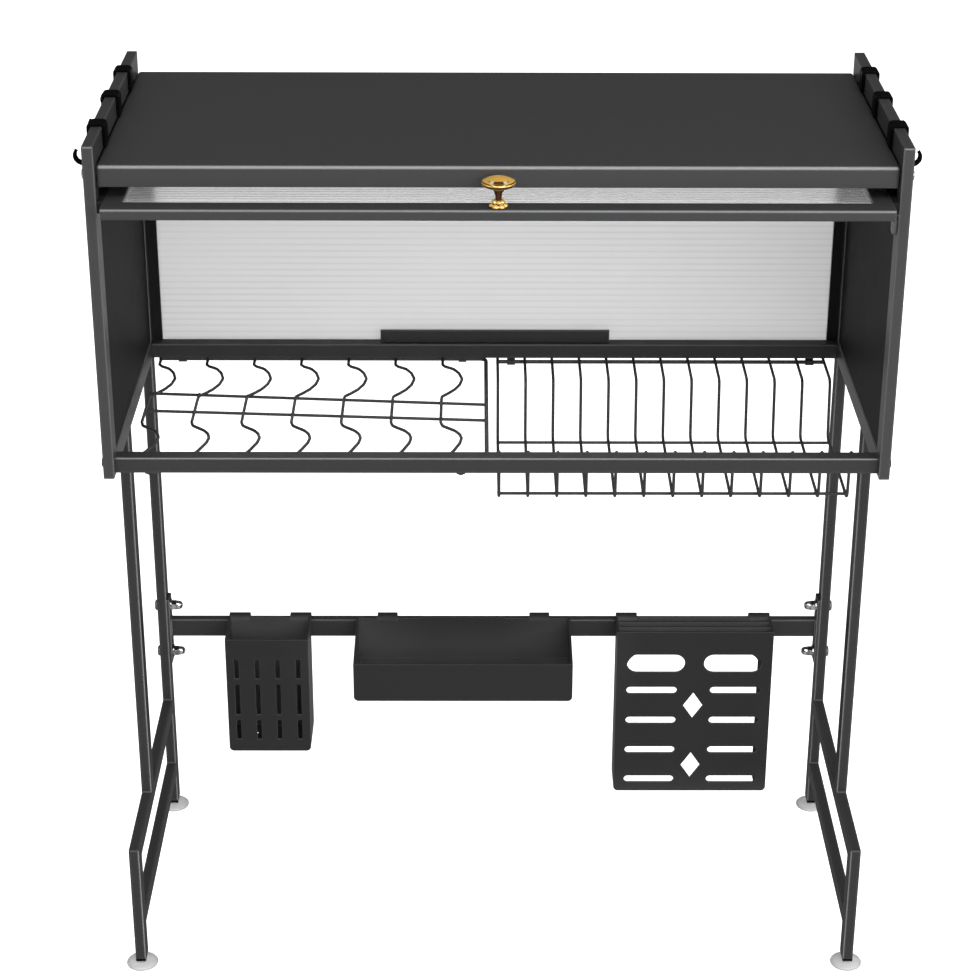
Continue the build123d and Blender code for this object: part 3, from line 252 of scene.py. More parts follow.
def wire_tree():
    """A bent round wire along the base's line, repeated at a pitch."""
    tree, given, result = new_tree("bent_wires", "GeometryNodeTree", [
        ("Route", "Geometry", None), ("Wire Radius", "Float", wire_radius),
        ("Bend Steps", "Int", bend_steps), ("Sides", "Int", wire_sides), ("Count", "Int", 1),
        ("Pitch", "Vector", (0, 0, 0)), ("Coat", "Material", None)], [("Wires", "Geometry")])
    line = node(tree, "GeometryNodeMeshToCurve", {"Mesh": given["Route"]})
    bends = node(tree, "GeometryNodeInputNamedAttribute", {"Name": "bend"}, data_type="FLOAT")
    rounded = node(tree, "GeometryNodeFilletCurve", {
        "Curve": line.outputs["Curve"], "Radius": bends.outputs["Attribute"],
        "Count": given["Bend Steps"], "Limit Radius": True}, mode="POLY")
    section = node(tree, "GeometryNodeCurvePrimitiveCircle", {
        "Radius": given["Wire Radius"], "Resolution": given["Sides"]})
    tube = node(tree, "GeometryNodeCurveToMesh", {
        "Curve": rounded.outputs["Curve"], "Profile Curve": section.outputs["Curve"],
        "Fill Caps": True})
    row = node(tree, "GeometryNodeMeshLine", {"Count": given["Count"], "Offset": given["Pitch"]})
    copies = node(tree, "GeometryNodeInstanceOnPoints", {
        "Points": row.outputs["Mesh"], "Instance": tube.outputs["Mesh"]})
    feed(tree, result["Wires"], made_real(tree, copies.outputs["Instances"], given["Coat"]))
    return tree


def spot_tree():
    """A flattened weld spot of uneven size at each point of the base."""
    tree, given, result = new_tree("weld_spots", "GeometryNodeTree", [
        ("Places", "Geometry", None), ("Spot Radius", "Float", wire_radius),
        ("Coat", "Material", None)], [("Spots", "Geometry")])
    points = node(tree, "GeometryNodeMeshToPoints", {"Mesh": given["Places"]})
    ball = node(tree, "GeometryNodeMeshUVSphere", {
        "Segments": weld_segments, "Rings": weld_rings, "Radius": given["Spot Radius"]})
    uneven = node(tree, "FunctionNodeRandomValue", {
        "Min": weld_least, "Max": weld_most, "Seed": weld_seed}, data_type="FLOAT_VECTOR")
    copies = node(tree, "GeometryNodeInstanceOnPoints", {
        "Points": points.outputs["Points"], "Instance": ball.outputs["Mesh"],
        "Scale": uneven.outputs["Value"]})
    feed(tree, result["Spots"], made_real(tree, copies.outputs["Instances"], given["Coat"]))
    return tree


def ring_tree():
    """Copies of a piece spread evenly round an upright axis through a centre."""
    tree, given, result = new_tree("ring_of_copies", "GeometryNodeTree", [
        ("Piece", "Geometry", None), ("Count", "Int", 2), ("Centre", "Vector", (0, 0, 0)),
        ("Start Turn", "Float", 0.0), ("Coat", "Material", None)], [("Ring", "Geometry")])
    row = node(tree, "GeometryNodeMeshLine", {"Count": given["Count"], "Offset": (0, 0, 0)})
    number = node(tree, "GeometryNodeInputIndex").outputs[0]
    share = maths(tree, "DIVIDE", number, given["Count"])
    angle = maths(tree, "MULTIPLY_ADD", share, 2 * pi, given["Start Turn"])
    spin = node(tree, "ShaderNodeCombineXYZ", {"Z": angle})
    copies = node(tree, "GeometryNodeInstanceOnPoints", {
        "Points": row.outputs["Mesh"], "Instance": given["Piece"], "Rotation": spin.outputs[0]})
    feed(tree, result["Ring"],
         made_real(tree, copies.outputs["Instances"], given["Coat"], given["Centre"]))
    return tree


# Formulas in node trees: each gives the socket with its result
def maths(tree, operation, *values):
    return node(tree, "ShaderNodeMath", dict(enumerate(values)), operation=operation).outputs[0]


def dot(tree, first, second):
    return node(tree, "ShaderNodeVectorMath", {0: first, 1: second},
                operation="DOT_PRODUCT").outputs["Value"]


def scaled(tree, vector, scale):
    return node(tree, "ShaderNodeVectorMath", {0: vector, "Scale": scale},
                operation="SCALE").outputs[0]


def axes(tree, vector):
    """The X, Y and Z of a vector."""
    return node(tree, "ShaderNodeSeparateXYZ", {0: vector}).outputs


def ramp(tree, value, span, smooth=True):
    """0 up to the first end of a span and 1 from the other on; the first may be the larger."""
    made = node(tree, "ShaderNodeMapRange", {
        "Value": value, "From Min": span[0], "From Max": span[1]}, clamp=True,
        interpolation_type="SMOOTHSTEP" if smooth else "LINEAR")
    return made.outputs["Result"]


def blend(tree, factor, first, second):
    """A colour between two colours."""
    return node(tree, "ShaderNodeMix", {"Factor": factor, "A": first, "B": second},
                data_type="RGBA").outputs["Result"]


def object_place(tree):
    return node(tree, "ShaderNodeTexCoord").outputs["Object"]


def surface_normal(tree):
    return node(tree, "ShaderNodeNewGeometry").outputs["Normal"]


# Shader groups: each gives only colours, values and normals. A span says where a shade starts and
# where it is full.
# Painted highlights fall on bends that face bend_facing and on faces towards the middle and the
# front; painted shade falls on faces flat towards the middle.
bend_facing = Vector((0.0, -0.8, 0.6))  # a bend that shows pale faces the front and up
side_facing = 0.707  # a side face that shows pale faces the middle and the front alike
lit_span = (0.86, 0.97)  # how well a face agrees with either of these directions
inner_span = (0.8 * side_facing, 0.97 * side_facing)  # how flatly it faces the middle
edge_span = (0.995, 0.86)  # how well the flat and the rounded normal agree
mottle_scale = 45.0
rib_span = (0.1, 0.95)  # height of the ribs' wave
rib_stretch = (5.0, 14.0, 14.0)  # along X the lines stay even for longer
under_span = (0.4, -0.05)  # how far up a surface faces
# Painted reflection on the knob's cap: a dark crescent with two glints.
band_lean = 0.4  # weight of facing the back beside facing up
band_top_span = (0.81, 0.76)
band_foot_span = (0.5, 0.62)
spot_inner_span = (0.15, 0.18)  # how far a surface faces sideways
spot_outer_span = (0.3, 0.27)
recess_span = (0.95, 0.45)  # how open the space round a place is


def coat_group():
    """A sprayed or moulded surface: fine grain, faint mottle and paler, rounded edges; the pale
    edges are partly wear and partly a painted highlight.

    Bend Light and Side Light paint highlights that make bends and faces of fixed directions paler,
    and Inner Shade paints shade that makes faces towards the middle of the rack darker, as in the
    photograph."""
    tree, given, result = new_tree("coated_surface", "ShaderNodeTree", [
        ("Colour", "Color", (0.04, 0.04, 0.04, 1)), ("Edge Colour", "Color", (0.1, 0.1, 0.1, 1)),
        ("Edge Width", "Float", 0.0012), ("Edge Wear", "Float", 0.5),
        ("Grain Scale", "Float", 900.0), ("Grain Depth", "Float", 0.00004),
        ("Roughness", "Float", 0.5), ("Mottle", "Float", 0.1), ("Bend Light", "Float", 0.0),
        ("Side Light", "Float", 0.0), ("Inner Shade", "Float", 0.0)],
        [("Colour", "Color"), ("Roughness", "Float"), ("Normal", "Vector")])
    where = object_place(tree)
    flat = node(tree, "ShaderNodeNewGeometry").outputs["True Normal"]
    rounded = node(tree, "ShaderNodeBevel", {"Radius": given["Edge Width"]}, samples=6).outputs[0]

    patchy = node(tree, "ShaderNodeTexNoise", {
        "Vector": where, "Scale": mottle_scale, "Detail": 4.0})
    centred = maths(tree, "SUBTRACT", patchy.outputs["Fac"], 0.5)
    blotch = maths(tree, "MULTIPLY_ADD", centred, given["Mottle"], 1.0)

    # Paler edges: partly wear, partly a painted highlight.
    edge = ramp(tree, dot(tree, flat, rounded), edge_span, smooth=False)
    wear_and_sheen = maths(tree, "MULTIPLY", maths(tree, "MULTIPLY", edge, given["Edge Wear"]), blotch)
    # Painted highlights on bends and on edges that face the middle and the front.
    bent = ramp(tree, dot(tree, rounded, bend_facing), lit_span)
    bend_lit = maths(tree, "MULTIPLY", bent, given["Bend Light"])
    half_side = maths(tree, "SIGN", axes(tree, where)["X"])
    inward = maths(tree, "MULTIPLY", half_side, -side_facing)
    toward = node(tree, "ShaderNodeCombineXYZ", {"X": inward, "Y": -side_facing}).outputs[0]
    turned_in = ramp(tree, dot(tree, rounded, toward), lit_span)
    side_lit = maths(tree, "MULTIPLY", turned_in, given["Side Light"])
    pale = maths(tree, "MAXIMUM", maths(tree, "MAXIMUM", wear_and_sheen, bend_lit), side_lit)

    # Painted shade on faces towards the middle of the rack.
    flat_in = maths(tree, "MULTIPLY", axes(tree, rounded)["X"], inward)
    inner_face = ramp(tree, flat_in, inner_span, smooth=False)
    shaded = maths(tree, "MULTIPLY", inner_face, given["Inner Shade"])
    mottled = scaled(tree, given["Colour"], blotch)
    darker = scaled(tree, mottled, maths(tree, "SUBTRACT", 1.0, shaded))

    grain = node(tree, "ShaderNodeTexNoise", {
        "Vector": where, "Scale": given["Grain Scale"], "Detail": 2.0})
    bump = node(tree, "ShaderNodeBump", {
        "Strength": 1.0, "Distance": given["Grain Depth"], "Height": grain.outputs["Fac"],
        "Normal": rounded})
    feed(tree, result["Colour"], blend(tree, pale, darker, given["Edge Colour"]))
    feed(tree, result["Roughness"], maths(tree, "MULTIPLY", given["Roughness"], blotch))
    feed(tree, result["Normal"], bump.outputs[0])
    return tree


def colour_tree(name, *inputs):
    """A shader group that makes one colour of another."""
    return new_tree(name, "ShaderNodeTree", [("Colour", "Color", (0.5, 0.5, 0.5, 1)), *inputs],
                    [("Colour", "Color")])


def rib_group():
    """Painted shade: faint darker lines between the ribs of a ribbed sheet, along one coordinate.
    """
    tree, given, result = colour_tree("rib_shade", ("Place", "Float", 0.0),
                                      ("Pitch", "Float", 0.0066), ("Depth", "Float", 0.15))
    turns = maths(tree, "DIVIDE", given["Place"], given["Pitch"])
    wave = maths(tree, "COSINE", maths(tree, "MULTIPLY", turns, 2 * pi))
    line = ramp(tree, wave, rib_span)
    stretched = node(tree, "ShaderNodeMapping", {0: object_place(tree), "Scale": rib_stretch})
    uneven = node(tree, "ShaderNodeTexNoise", {"Vector": stretched.outputs[0], "Scale": 1.0})
    strength = maths(tree, "MULTIPLY", uneven.outputs["Fac"], given["Depth"])
    kept = maths(tree, "SUBTRACT", 1.0, maths(tree, "MULTIPLY", line, strength))
    feed(tree, result["Colour"], scaled(tree, given["Colour"], kept))
    return tree


def under_group():
    """Painted shade: another colour where a surface faces the ground."""
    tree, given, result = colour_tree("underside_tint", ("Under Colour", "Color", (0, 0, 0, 1)))
    below = ramp(tree, axes(tree, surface_normal(tree))["Z"], under_span)
    feed(tree, result["Colour"], blend(tree, below, given["Colour"], given["Under Colour"]))
    return tree


def front_band_group():
    """A painted reflection: a crescent of another colour where a dome leans to the front, with two
    pale spots in it, which are painted glints.
    """
    tree, given, result = colour_tree("front_band", ("Band Colour", "Color", (0, 0, 0, 1)),
                                      ("Spot Colour", "Color", (1, 1, 1, 1)))
    facing = axes(tree, surface_normal(tree))
    lean = maths(tree, "MULTIPLY_ADD", facing["Y"], band_lean, facing["Z"])
    band = maths(tree, "MULTIPLY", ramp(tree, lean, band_top_span),
                 ramp(tree, facing["Z"], band_foot_span))
    sideways = maths(tree, "ABSOLUTE", facing["X"])
    pair = maths(tree, "MULTIPLY", ramp(tree, sideways, spot_inner_span),
                 ramp(tree, sideways, spot_outer_span))
    shade = blend(tree, pair, given["Band Colour"], given["Spot Colour"])
    feed(tree, result["Colour"], blend(tree, band, given["Colour"], shade))
    return tree


def recess_group():
    """Painted light: a paler colour deep inside a piece, as if light were thrown back in it."""
    tree, given, result = colour_tree("recess_lift", ("Recess Colour", "Color", (1, 1, 1, 1)),
                                      ("Reach", "Float", 0.08))
    shelter = node(tree, "ShaderNodeAmbientOcclusion", {"Distance": given["Reach"]}, samples=4)
    deep = ramp(tree, shelter.outputs["AO"], recess_span, smooth=False)
    feed(tree, result["Colour"], blend(tree, deep, given["Colour"], given["Recess Colour"]))
    return tree


coated = coat_group()
rib_shade = rib_group()
painted_under_shade = under_group()
front_band = front_band_group()
recess_lift = recess_group()


# Finishes
def fill(target, values):
    """Set a node's inputs by name; _ stands for a space."""
    for key, value in values.items():
        target.inputs[key.replace("_", " ")].default_value = value


def finish(name, colour, edge_colour, coating, **plain):
    """A material on the shared coat group; plain values go on the shader's own sockets."""
    material = bpy.data.materials.new(name)
    material.use_nodes = True
    tree = material.node_tree
    shader = tree.nodes["Principled BSDF"]
    skin = node(tree, "ShaderNodeGroup", node_tree=coated)
    fill(skin, dict(coating, Colour=(*colour, 1), Edge_Colour=(*edge_colour, 1)))
    fill(shader, plain)
    feed(tree, shader.inputs["Base Color"], skin.outputs["Colour"])
    feed(tree, shader.inputs["Roughness"], skin.outputs["Roughness"])
    feed(tree, shader.inputs["Normal"], skin.outputs["Normal"])
    return material


def extra(material, group, **values):
    """Put one more colour group between a finish's coat group and its shader."""
    tree = material.node_tree
    base_colour = tree.nodes["Principled BSDF"].inputs["Base Color"]
    made = node(tree, "ShaderNodeGroup", node_tree=group)
    fill(made, values)
    feed(tree, made.inputs["Colour"], base_colour.links[0].from_socket)
    feed(tree, base_colour, made.outputs["Colour"])
    return made


def ribbed(material, axis, depth, shift=0.0):
    """Painted shade lines between the ribs, across one axis of a sheet's material."""
    tree = material.node_tree
    made = extra(material, rib_shade, Pitch=rib_pitch, Depth=depth)
    place = axes(tree, object_place(tree))[axis]
    feed(tree, made.inputs["Place"], maths(tree, "SUBTRACT", place, shift))


def grey(level):
    return (level, level, level * 1.03)


def surface(roughness, edge_width, edge_wear_and_sheen, grain_scale, grain_depth, mottle, **lights):
    """Values for the coat group, with widths and depths in millimetres."""
    return dict(Roughness=roughness, Edge_Width=edge_width * mm, Edge_Wear=edge_wear_and_sheen,
                Grain_Scale=grain_scale, Grain_Depth=grain_depth * mm, Mottle=mottle, **lights)


def powder(roughness, edge_width=2.4, edge_wear_and_sheen=0.3, **lights):
    """Powder coat, the same everywhere but for its sheen, its edges and the painted highlights and
    shade that its lights give.
    """
    return surface(roughness, edge_width, edge_wear_and_sheen, 1400, 0.012, 0.1, **lights)


# Each finish: name, colour, colour of its edges, surface and the shader's own values. A surface is
# given by roughness, edge width, edge wear and highlight, grain scale and depth, and mottle. The
# edges' colour is partly wear and partly painted light: a painted highlight where it is paler than
# the finish, painted shade where it is darker.
finishes = {
    # The powder coat gets painted highlights on its bends and on edges that face the middle.
    "painted": finish("charcoal_powder_coat", grey(0.044), grey(0.26),
                      powder(0.42, Bend_Light=0.9, Side_Light=0.35), Specular_IOR_Level=0.35),
    "rack_wire": finish("coated_wire", grey(0.034), grey(0.06),
                        surface(0.45, 0.2, 0.2, 1800, 0.01, 0.15), Specular_IOR_Level=0.35),
    "hanging_sheet": finish("matt_black_coat", grey(0.021), grey(0.13),
                            surface(0.5, 0.9, 0.6, 1600, 0.012, 0.08), Specular_IOR_Level=0.2),
    "black_hook": finish("dipped_black_coat", grey(0.0015), grey(0.008),
                         surface(0.45, 0.6, 0.3, 700, 0.01, 0.15), Specular_IOR_Level=0.05),
    "black_plastic": finish("moulded_black_plastic", grey(0.003), grey(0.012),
                            surface(0.45, 0.4, 0.3, 900, 0.02, 0.1), Specular_IOR_Level=0.1),
    "black_bolt": finish("blackened_steel", grey(0.03), grey(0.12),
                         surface(0.35, 0.4, 0.6, 1200, 0.01, 0.2), Metallic=0.8),
    "plated_steel": finish("bright_plate", (0.72, 0.72, 0.74), (0.8, 0.8, 0.82),
                           surface(0.16, 0.3, 0.4, 900, 0.004, 0.15), Metallic=1.0),
    "white_sheet": finish("frosted_ribbed_sheet", (0.88, 0.88, 0.88), (0.9, 0.9, 0.9),
                          surface(0.4, 0.3, 0.3, 500, 0.004, 0.02), Transmission_Weight=0.67,
                          IOR=1.2),
    # The gold's pale rim colour is a painted highlight.
    "gold": finish("polished_gold", (1.0, 0.6, 0.12), (1.0, 0.95, 0.6),
                   surface(0.12, 1.3, 0.95, 300, 0.002, 0.05), Metallic=0.5),
    "nylon": finish("white_nylon", (0.62, 0.61, 0.58), (0.7, 0.7, 0.68),
                    surface(0.5, 0.4, 0.3, 700, 0.01, 0.08)),
    "clear_foot": finish("clear_soft_plastic", (0.7, 0.7, 0.705), (0.42, 0.42, 0.425),
                         surface(0.3, 0.9, 0.7, 260, 0.05, 0.12), Transmission_Weight=0.4),
}
# Painted light: a darker copy of the powder coat for the legs, the crossbar, the rear bar and the
# retaining strip, with painted highlights on edges and painted shade on faces towards the middle.
leg_coat_painted_light = finish("leg_powder_coat", grey(0.034), grey(0.3),
                  powder(0.5, 2.6, 0.2, Bend_Light=0.3, Side_Light=0.85, Inner_Shade=0.8),
                  Specular_IOR_Level=0.12)
# Painted shade: a darker copy of the powder coat for the front bar.
bar_coat_painted_shade = finish("bar_powder_coat", grey(0.034), grey(0.25), powder(0.45, Bend_Light=0.9),
                  Specular_IOR_Level=0.2)
# Painted shade: a darker copy of the powder coat for the side panels and channels inside the
# cabinet.
inner_coat_painted_shade = finish("inner_powder_coat", grey(0.016), grey(0.05),
                    powder(0.55, 1.0, 0.4, Bend_Light=0.2), Specular_IOR_Level=0.03)
# Painted light: a copy of the powder coat for the door frame, a little darker and with a fainter
# painted highlight.
door_coat_painted_light = finish("door_powder_coat", grey(0.04), grey(0.21), powder(0.4, Bend_Light=0.8),
                   Specular_IOR_Level=0.4)
# Painted light: the door's sheet glows faintly.
door_sheet = finish("frosted_door_sheet", (0.985, 0.985, 0.985), (0.99, 0.99, 0.99),
                    surface(0.22, 0.3, 0.3, 500, 0.001, 0.01), Transmission_Weight=0.9, IOR=1.05,
                    Emission_Color=(1.0, 1.0, 1.0, 1.0), Emission_Strength=0.04)
catch_coat = finish("grey_catch", grey(0.15), grey(0.4), surface(0.35, 0.6, 0.8, 900, 0.01, 0.3),
                    Metallic=0.4)

rib_pitch = 6.6 * mm
back_rib_z = 683.0 * mm
# Painted shade lines between the ribs of both sheets.
ribbed(finishes["white_sheet"], "Z", 0.2, back_rib_z)
ribbed(door_sheet, "Y", 0.05)
# Painted shade on the gold where it faces the ground.
extra(finishes["gold"], painted_under_shade, Under_Colour=(0.07, 0.025, 0.006, 1))
# Painted light deep inside the hanging sheets.
extra(finishes["hanging_sheet"], recess_lift, Recess_Colour=(*grey(0.075), 1), Reach=80.0 * mm)
# The knob's cap gets a painted reflection.
cap_gold = finishes["gold"].copy()
cap_gold.name = "polished_gold_cap"
extra(cap_gold, front_band, Band_Colour=(0.16, 0.06, 0.01, 1), Spot_Colour=(1.0, 0.92, 0.62, 1))

# Some nodes take the darker copies of the powder coat, which are painted light.
own_finishes = {"crossbar": leg_coat_painted_light, "bottom_front_bar": bar_coat_painted_shade, "bottom_rear_bar": leg_coat_painted_light,
                "retaining_strip": leg_coat_painted_light, "rack_clips": finishes["rack_wire"],
                "crossbar_bolts": catch_coat, "door_frame": door_coat_painted_light, "door_panel": door_sheet}
for side, sign in sides:
    own_finishes[f"leg_frame_{side}"] = leg_coat_painted_light
    for place in ("side_panel", "back_channel", "door_channel"):
        own_finishes[f"{place}_{side}"] = inner_coat_painted_shade

# Every CAD node takes its own finish or that of its material slot
for row in frame["record"]["subparts"]:
    thing = frame["nodes"][row["node"]]
    thing.data.materials.clear()
    thing.data.materials.append(own_finishes.get(row["node"], finishes[row["material_slot"]]))


# Wire racks
wires = wire_tree()
spots = spot_tree()
wire_coat = finishes["rack_wire"]


def bent(name, points, bends, **inputs):
    """Wires along a line of points, with the bend radius wanted at each inner one."""
    base = mesh_object(f"{name}_route", points, [(i, i + 1) for i in range(len(points) - 1)])
    radii = base.data.attributes.new("bend", "FLOAT", "POINT")
    for i, bend in enumerate(bends):
        radii.data[i + 1].value = bend
    return grown(name, base, wires, Coat=wire_coat, **inputs)


def welds(name, places):
    return grown(name, mesh_object(f"{name}_places", places), spots, Coat=wire_coat,
                 Spot_Radius=weld_radius)


# Plate rack: a row of wires bent to (setback, drop below their top), on a rod and two long wires
plate_first_x = 2.7 * mm
plate_pitch = 27.39 * mm
plate_count = 13
plate_bend = 7.0 * mm
plate_drop = 58.0
plate_steps = ((232.0, 0.0), (223.0, plate_drop), (82.0, plate_drop), (80.0, 8.2))
plate_end_setback = 23.6
plate_end_rise = 1.8 * mm
plate_last_x = plate_first_x + (plate_count - 1) * plate_pitch
plate_rod_y = set_back(287.0)
plate_top_z = bar_bottom - rod_sink - wire_radius
plate_rod_z = plate_top_z - wire_radius - rod_radius + weld_sink
plate_long_z = plate_top_z - plate_drop * mm - 2 * wire_radius + weld_sink
plate_long_ys = (set_back(216.0), set_back(98.0))


def plate_length(name, y, z, **inputs):
    """A straight wire or rod that runs along the whole plate rack."""
    return bent(name, [(plate_first_x - wire_radius, y, z), (plate_last_x + wire_radius, y, z)],
                (), **inputs)


plate_route = [(plate_first_x, plate_rod_y + rod_radius, plate_top_z)]
plate_route += [(plate_first_x, set_back(distance), plate_top_z - drop * mm)
                for distance, drop in plate_steps]
plate_route.append((plate_first_x, set_back(plate_end_setback), bar_bottom + plate_end_rise))
plate_parts = [bent("plate_wires", plate_route, [plate_bend] * len(plate_steps),
                    Count=plate_count, Pitch=(plate_pitch, 0, 0))]
plate_parts += [plate_length("plate_long_wire", y, plate_long_z) for y in plate_long_ys]
plate_parts.append(plate_length("plate_rear_rod", plate_rod_y, plate_rod_z,
                                Wire_Radius=rod_radius))
plate_parts.append(welds("plate_welds", [
    (plate_first_x + i * plate_pitch, y, plate_long_z + wire_radius - weld_sink / 2)
    for y in plate_long_ys for i in range(plate_count)]))
set_out(joined("plate_rack_wires", plate_parts), "rack", ["plate_rack"])

# Bowl rack: waved wires in a bent rim rod, on two long wires that run aslant
bowl_left_x = -338.3 * mm
bowl_right_x = -9.0 * mm
bowl_front_y = set_back(19.0)
bowl_rear_y = set_back(288.0)
bowl_rim_bend = 6.0 * mm
bowl_first_x = -336.3 * mm
bowl_pitch = 47.3 * mm
bowl_count = 7
bowl_rod_z = bar_bottom - rod_sink - rod_radius
bowl_long_z = bowl_rod_z - 2 * wire_radius + weld_sink
bowl_long_setbacks = ((204.0, 177.0), (161.5, 139.0))
# Points of a wave: how far it swings to the right, its setback and its bend radius
wave_steps = ((0.0, 272.0, 4.0), (3.0, 267.0, 6.0), (11.2, 261.0, 14.0), (16.6, 250.0, 14.0),
              (19.8, 235.5, 14.0), (17.6, 221.0, 16.0), (12.6, 208.5, 16.0), (6.2, 198.5, 12.0),
              (0.4, 191.0, 6.0), (0.0, 184.0, 8.0), (0.0, 128.0, 8.0), (1.9, 119.9, 6.0),
              (7.7, 114.3, 14.0), (13.7, 108.7, 14.0), (18.2, 100.8, 14.0), (20.0, 91.6, 14.0),
              (18.6, 80.5, 14.0), (13.5, 64.7, 16.0), (6.5, 47.0, 16.0), (0.6, 34.5, 8.0),
              (0.0, 28.0, 8.0))
wave = [(bowl_first_x, bowl_rear_y, bowl_rod_z)]
wave += [(bowl_first_x + swing * mm, set_back(distance), bowl_rod_z)
         for swing, distance, bend in wave_steps]
wave.append((bowl_first_x, bowl_front_y, bowl_rod_z))
rim = [(bowl_left_x, bowl_front_y, bowl_rod_z), (bowl_right_x, bowl_front_y, bowl_rod_z),
       (bowl_right_x, bowl_rear_y, bowl_rod_z), (bowl_left_x, bowl_rear_y, bowl_rod_z)]
bowl_parts = [bent("bowl_waves", wave, [bend * mm for swing, distance, bend in wave_steps],
                   Count=bowl_count, Pitch=(bowl_pitch, 0, 0), Bend_Steps=3),
              bent("bowl_rim_rod", rim, [bowl_rim_bend] * 2, Wire_Radius=rod_radius)]
crossings = []
for left_setback, right_setback in bowl_long_setbacks:
    bowl_parts.append(bent("bowl_long_wire", [
        (bowl_left_x, set_back(left_setback), bowl_long_z),
        (bowl_right_x, set_back(right_setback), bowl_long_z)], ()))
    for i in range(bowl_count):
        x = bowl_first_x + i * bowl_pitch
        share = (x - bowl_left_x) / (bowl_right_x - bowl_left_x)
        y = set_back(left_setback + (right_setback - left_setback) * share)
        crossings.append((x, y, bowl_rod_z - wire_radius))
bowl_parts.append(welds("bowl_welds", crossings))
set_out(joined("bowl_rack_wires", bowl_parts), "rack", ["bowl_rack"])

# Knob: stem, collar and domed cap with a round rim, as (radius, height)
knob_place = (0.0, set_back(-10.0))
knob_foot = 793.0 * mm
knob_profile = [(0.0, 0.0), (2.7, 0.0), (2.7, 6.0), (2.8, 9.0), (3.1, 11.5), (3.7, 13.6),
                (4.6, 15.0), (5.2, 15.8), (5.2, 16.6), (4.9, 17.2), (8.2, 17.7), (11.0, 18.7),
                (12.8, 19.9)]
knob_profile += arc((12.5, 21.9), 2.4, -50.0, 70.0, 10)
knob_profile += [(12.4, 24.4), (10.8, 25.4), (8.8, 26.2), (6.4, 26.9), (3.6, 27.5), (1.6, 27.75),
                 (0.0, 27.8)]
knob = turned("door_knob_turned", [(r * mm, knob_foot + z * mm) for r, z in knob_profile],
              knob_place)
knob.data.materials.append(cap_gold)
set_out(knob, "door", ["door_knob"], smooth_angle=50.0)

# Rosette: two rings of petals round the stem
petal_count = 6
petal_segments = 18
petal_rings = 14
petal_root_share = 0.62  # width and rise at the axis, as a share of those at the tip
petal_foot_fullness = 0.3
petal_foot_share = 0.25
near_pole = 0.01


def petal(name, reach, width, rise, height):
    """A petal that stands out from the axis, flat below and fuller near its tip."""
    work = bmesh.new()
    bmesh.ops.create_uvsphere(work, u_segments=petal_segments, v_segments=petal_rings, radius=1.0)
    for vertex in work.verts:
        x, y, z = vertex.co
        if z < 0:
            out = max(0.0, 1.0 - z * z) ** 0.5
            fuller = out ** petal_foot_fullness / out if out > near_pole else 1.0
            x, y, z = x * fuller, y * fuller, z * petal_foot_share
        far = (x + 1) / 2
        swell = petal_root_share + (1 - petal_root_share) * far
        lift = (z * swell + petal_foot_share) / (1 + petal_foot_share)
        vertex.co = Vector((far * reach, y * width / 2 * swell, height + lift * rise))
    return bmesh_object(name, work)


round_copies = ring_tree()
rosette = []
# Each ring: name, reach, width, rise and height of its petals, and the turn of the first one
for name, reach, width, rise, height, turn in (
        ("lower_petals", 8.3, 7.8, 4.6, 0.02, 0.0),
        ("upper_petals", 6.3, 5.8, 4.4, 3.4, pi / petal_count)):
    base = petal(f"{name}_base", reach * mm, width * mm, rise * mm, height * mm)
    rosette.append(grown(name, base, round_copies, Count=petal_count, Start_Turn=turn,
                         Centre=(*knob_place, knob_foot), Coat=finishes["gold"]))
set_out(joined("rosette_petals", rosette), "door", ["knob_rosette"], smooth_angle=60.0)

# Feet: clear pads with a raised rim, a boss and a stem, as (radius, height)
foot_x = 350.0 * mm
foot_setbacks = {"front": 1.5, "rear": 291.4}
foot_profile = [(0.0, 0.0), (11.5, 0.0), (12.2, 0.5), (14.6, 0.5)]
foot_profile += arc((14.3, 1.7), 1.2, -90.0, 40.0, 6)
foot_profile += [(14.6, 3.2), (13.6, 4.1), (11.0, 5.0), (8.2, 5.7), (6.6, 6.2), (6.0, 6.9),
                 (5.8, 8.4), (2.9, 8.4), (2.9, 24.0), (2.4, 24.4), (0.0, 24.4)]
for side, sign in sides:
    for end, distance in foot_setbacks.items():
        foot = turned(f"foot_{end}_{side}_pad", to_metres(foot_profile),
                      (sign * foot_x, set_back(distance)))
        foot.data.materials.append(finishes["clear_foot"])
        set_out(foot, f"foot_{end}_{side}", [f"foot_{end}_{side}"])

# Side hooks: straps bent over the top rails, each with a round curl outside and a narrower tip
hook_setbacks = {"front": 64.0, "middle": 155.0, "rear": 237.5}
hook_sheet = 3.0 * mm
hook_width = 15.0 * mm
hook_chamfer = 0.5 * mm
hook_top_z = 844.8 * mm
hook_foot_z = 825.5 * mm
hook_inner_x = 343.2 * mm
hook_outer_x = 356.8 * mm
hook_bend = 2.5 * mm
hook_bend_steps = 6
curl_radius = 7.1 * mm
curl_z = 815.6 * mm
curl_end = 396.0
curl_steps = 24
curl_taper_share = 0.5
curl_tip_width = 6.5 * mm


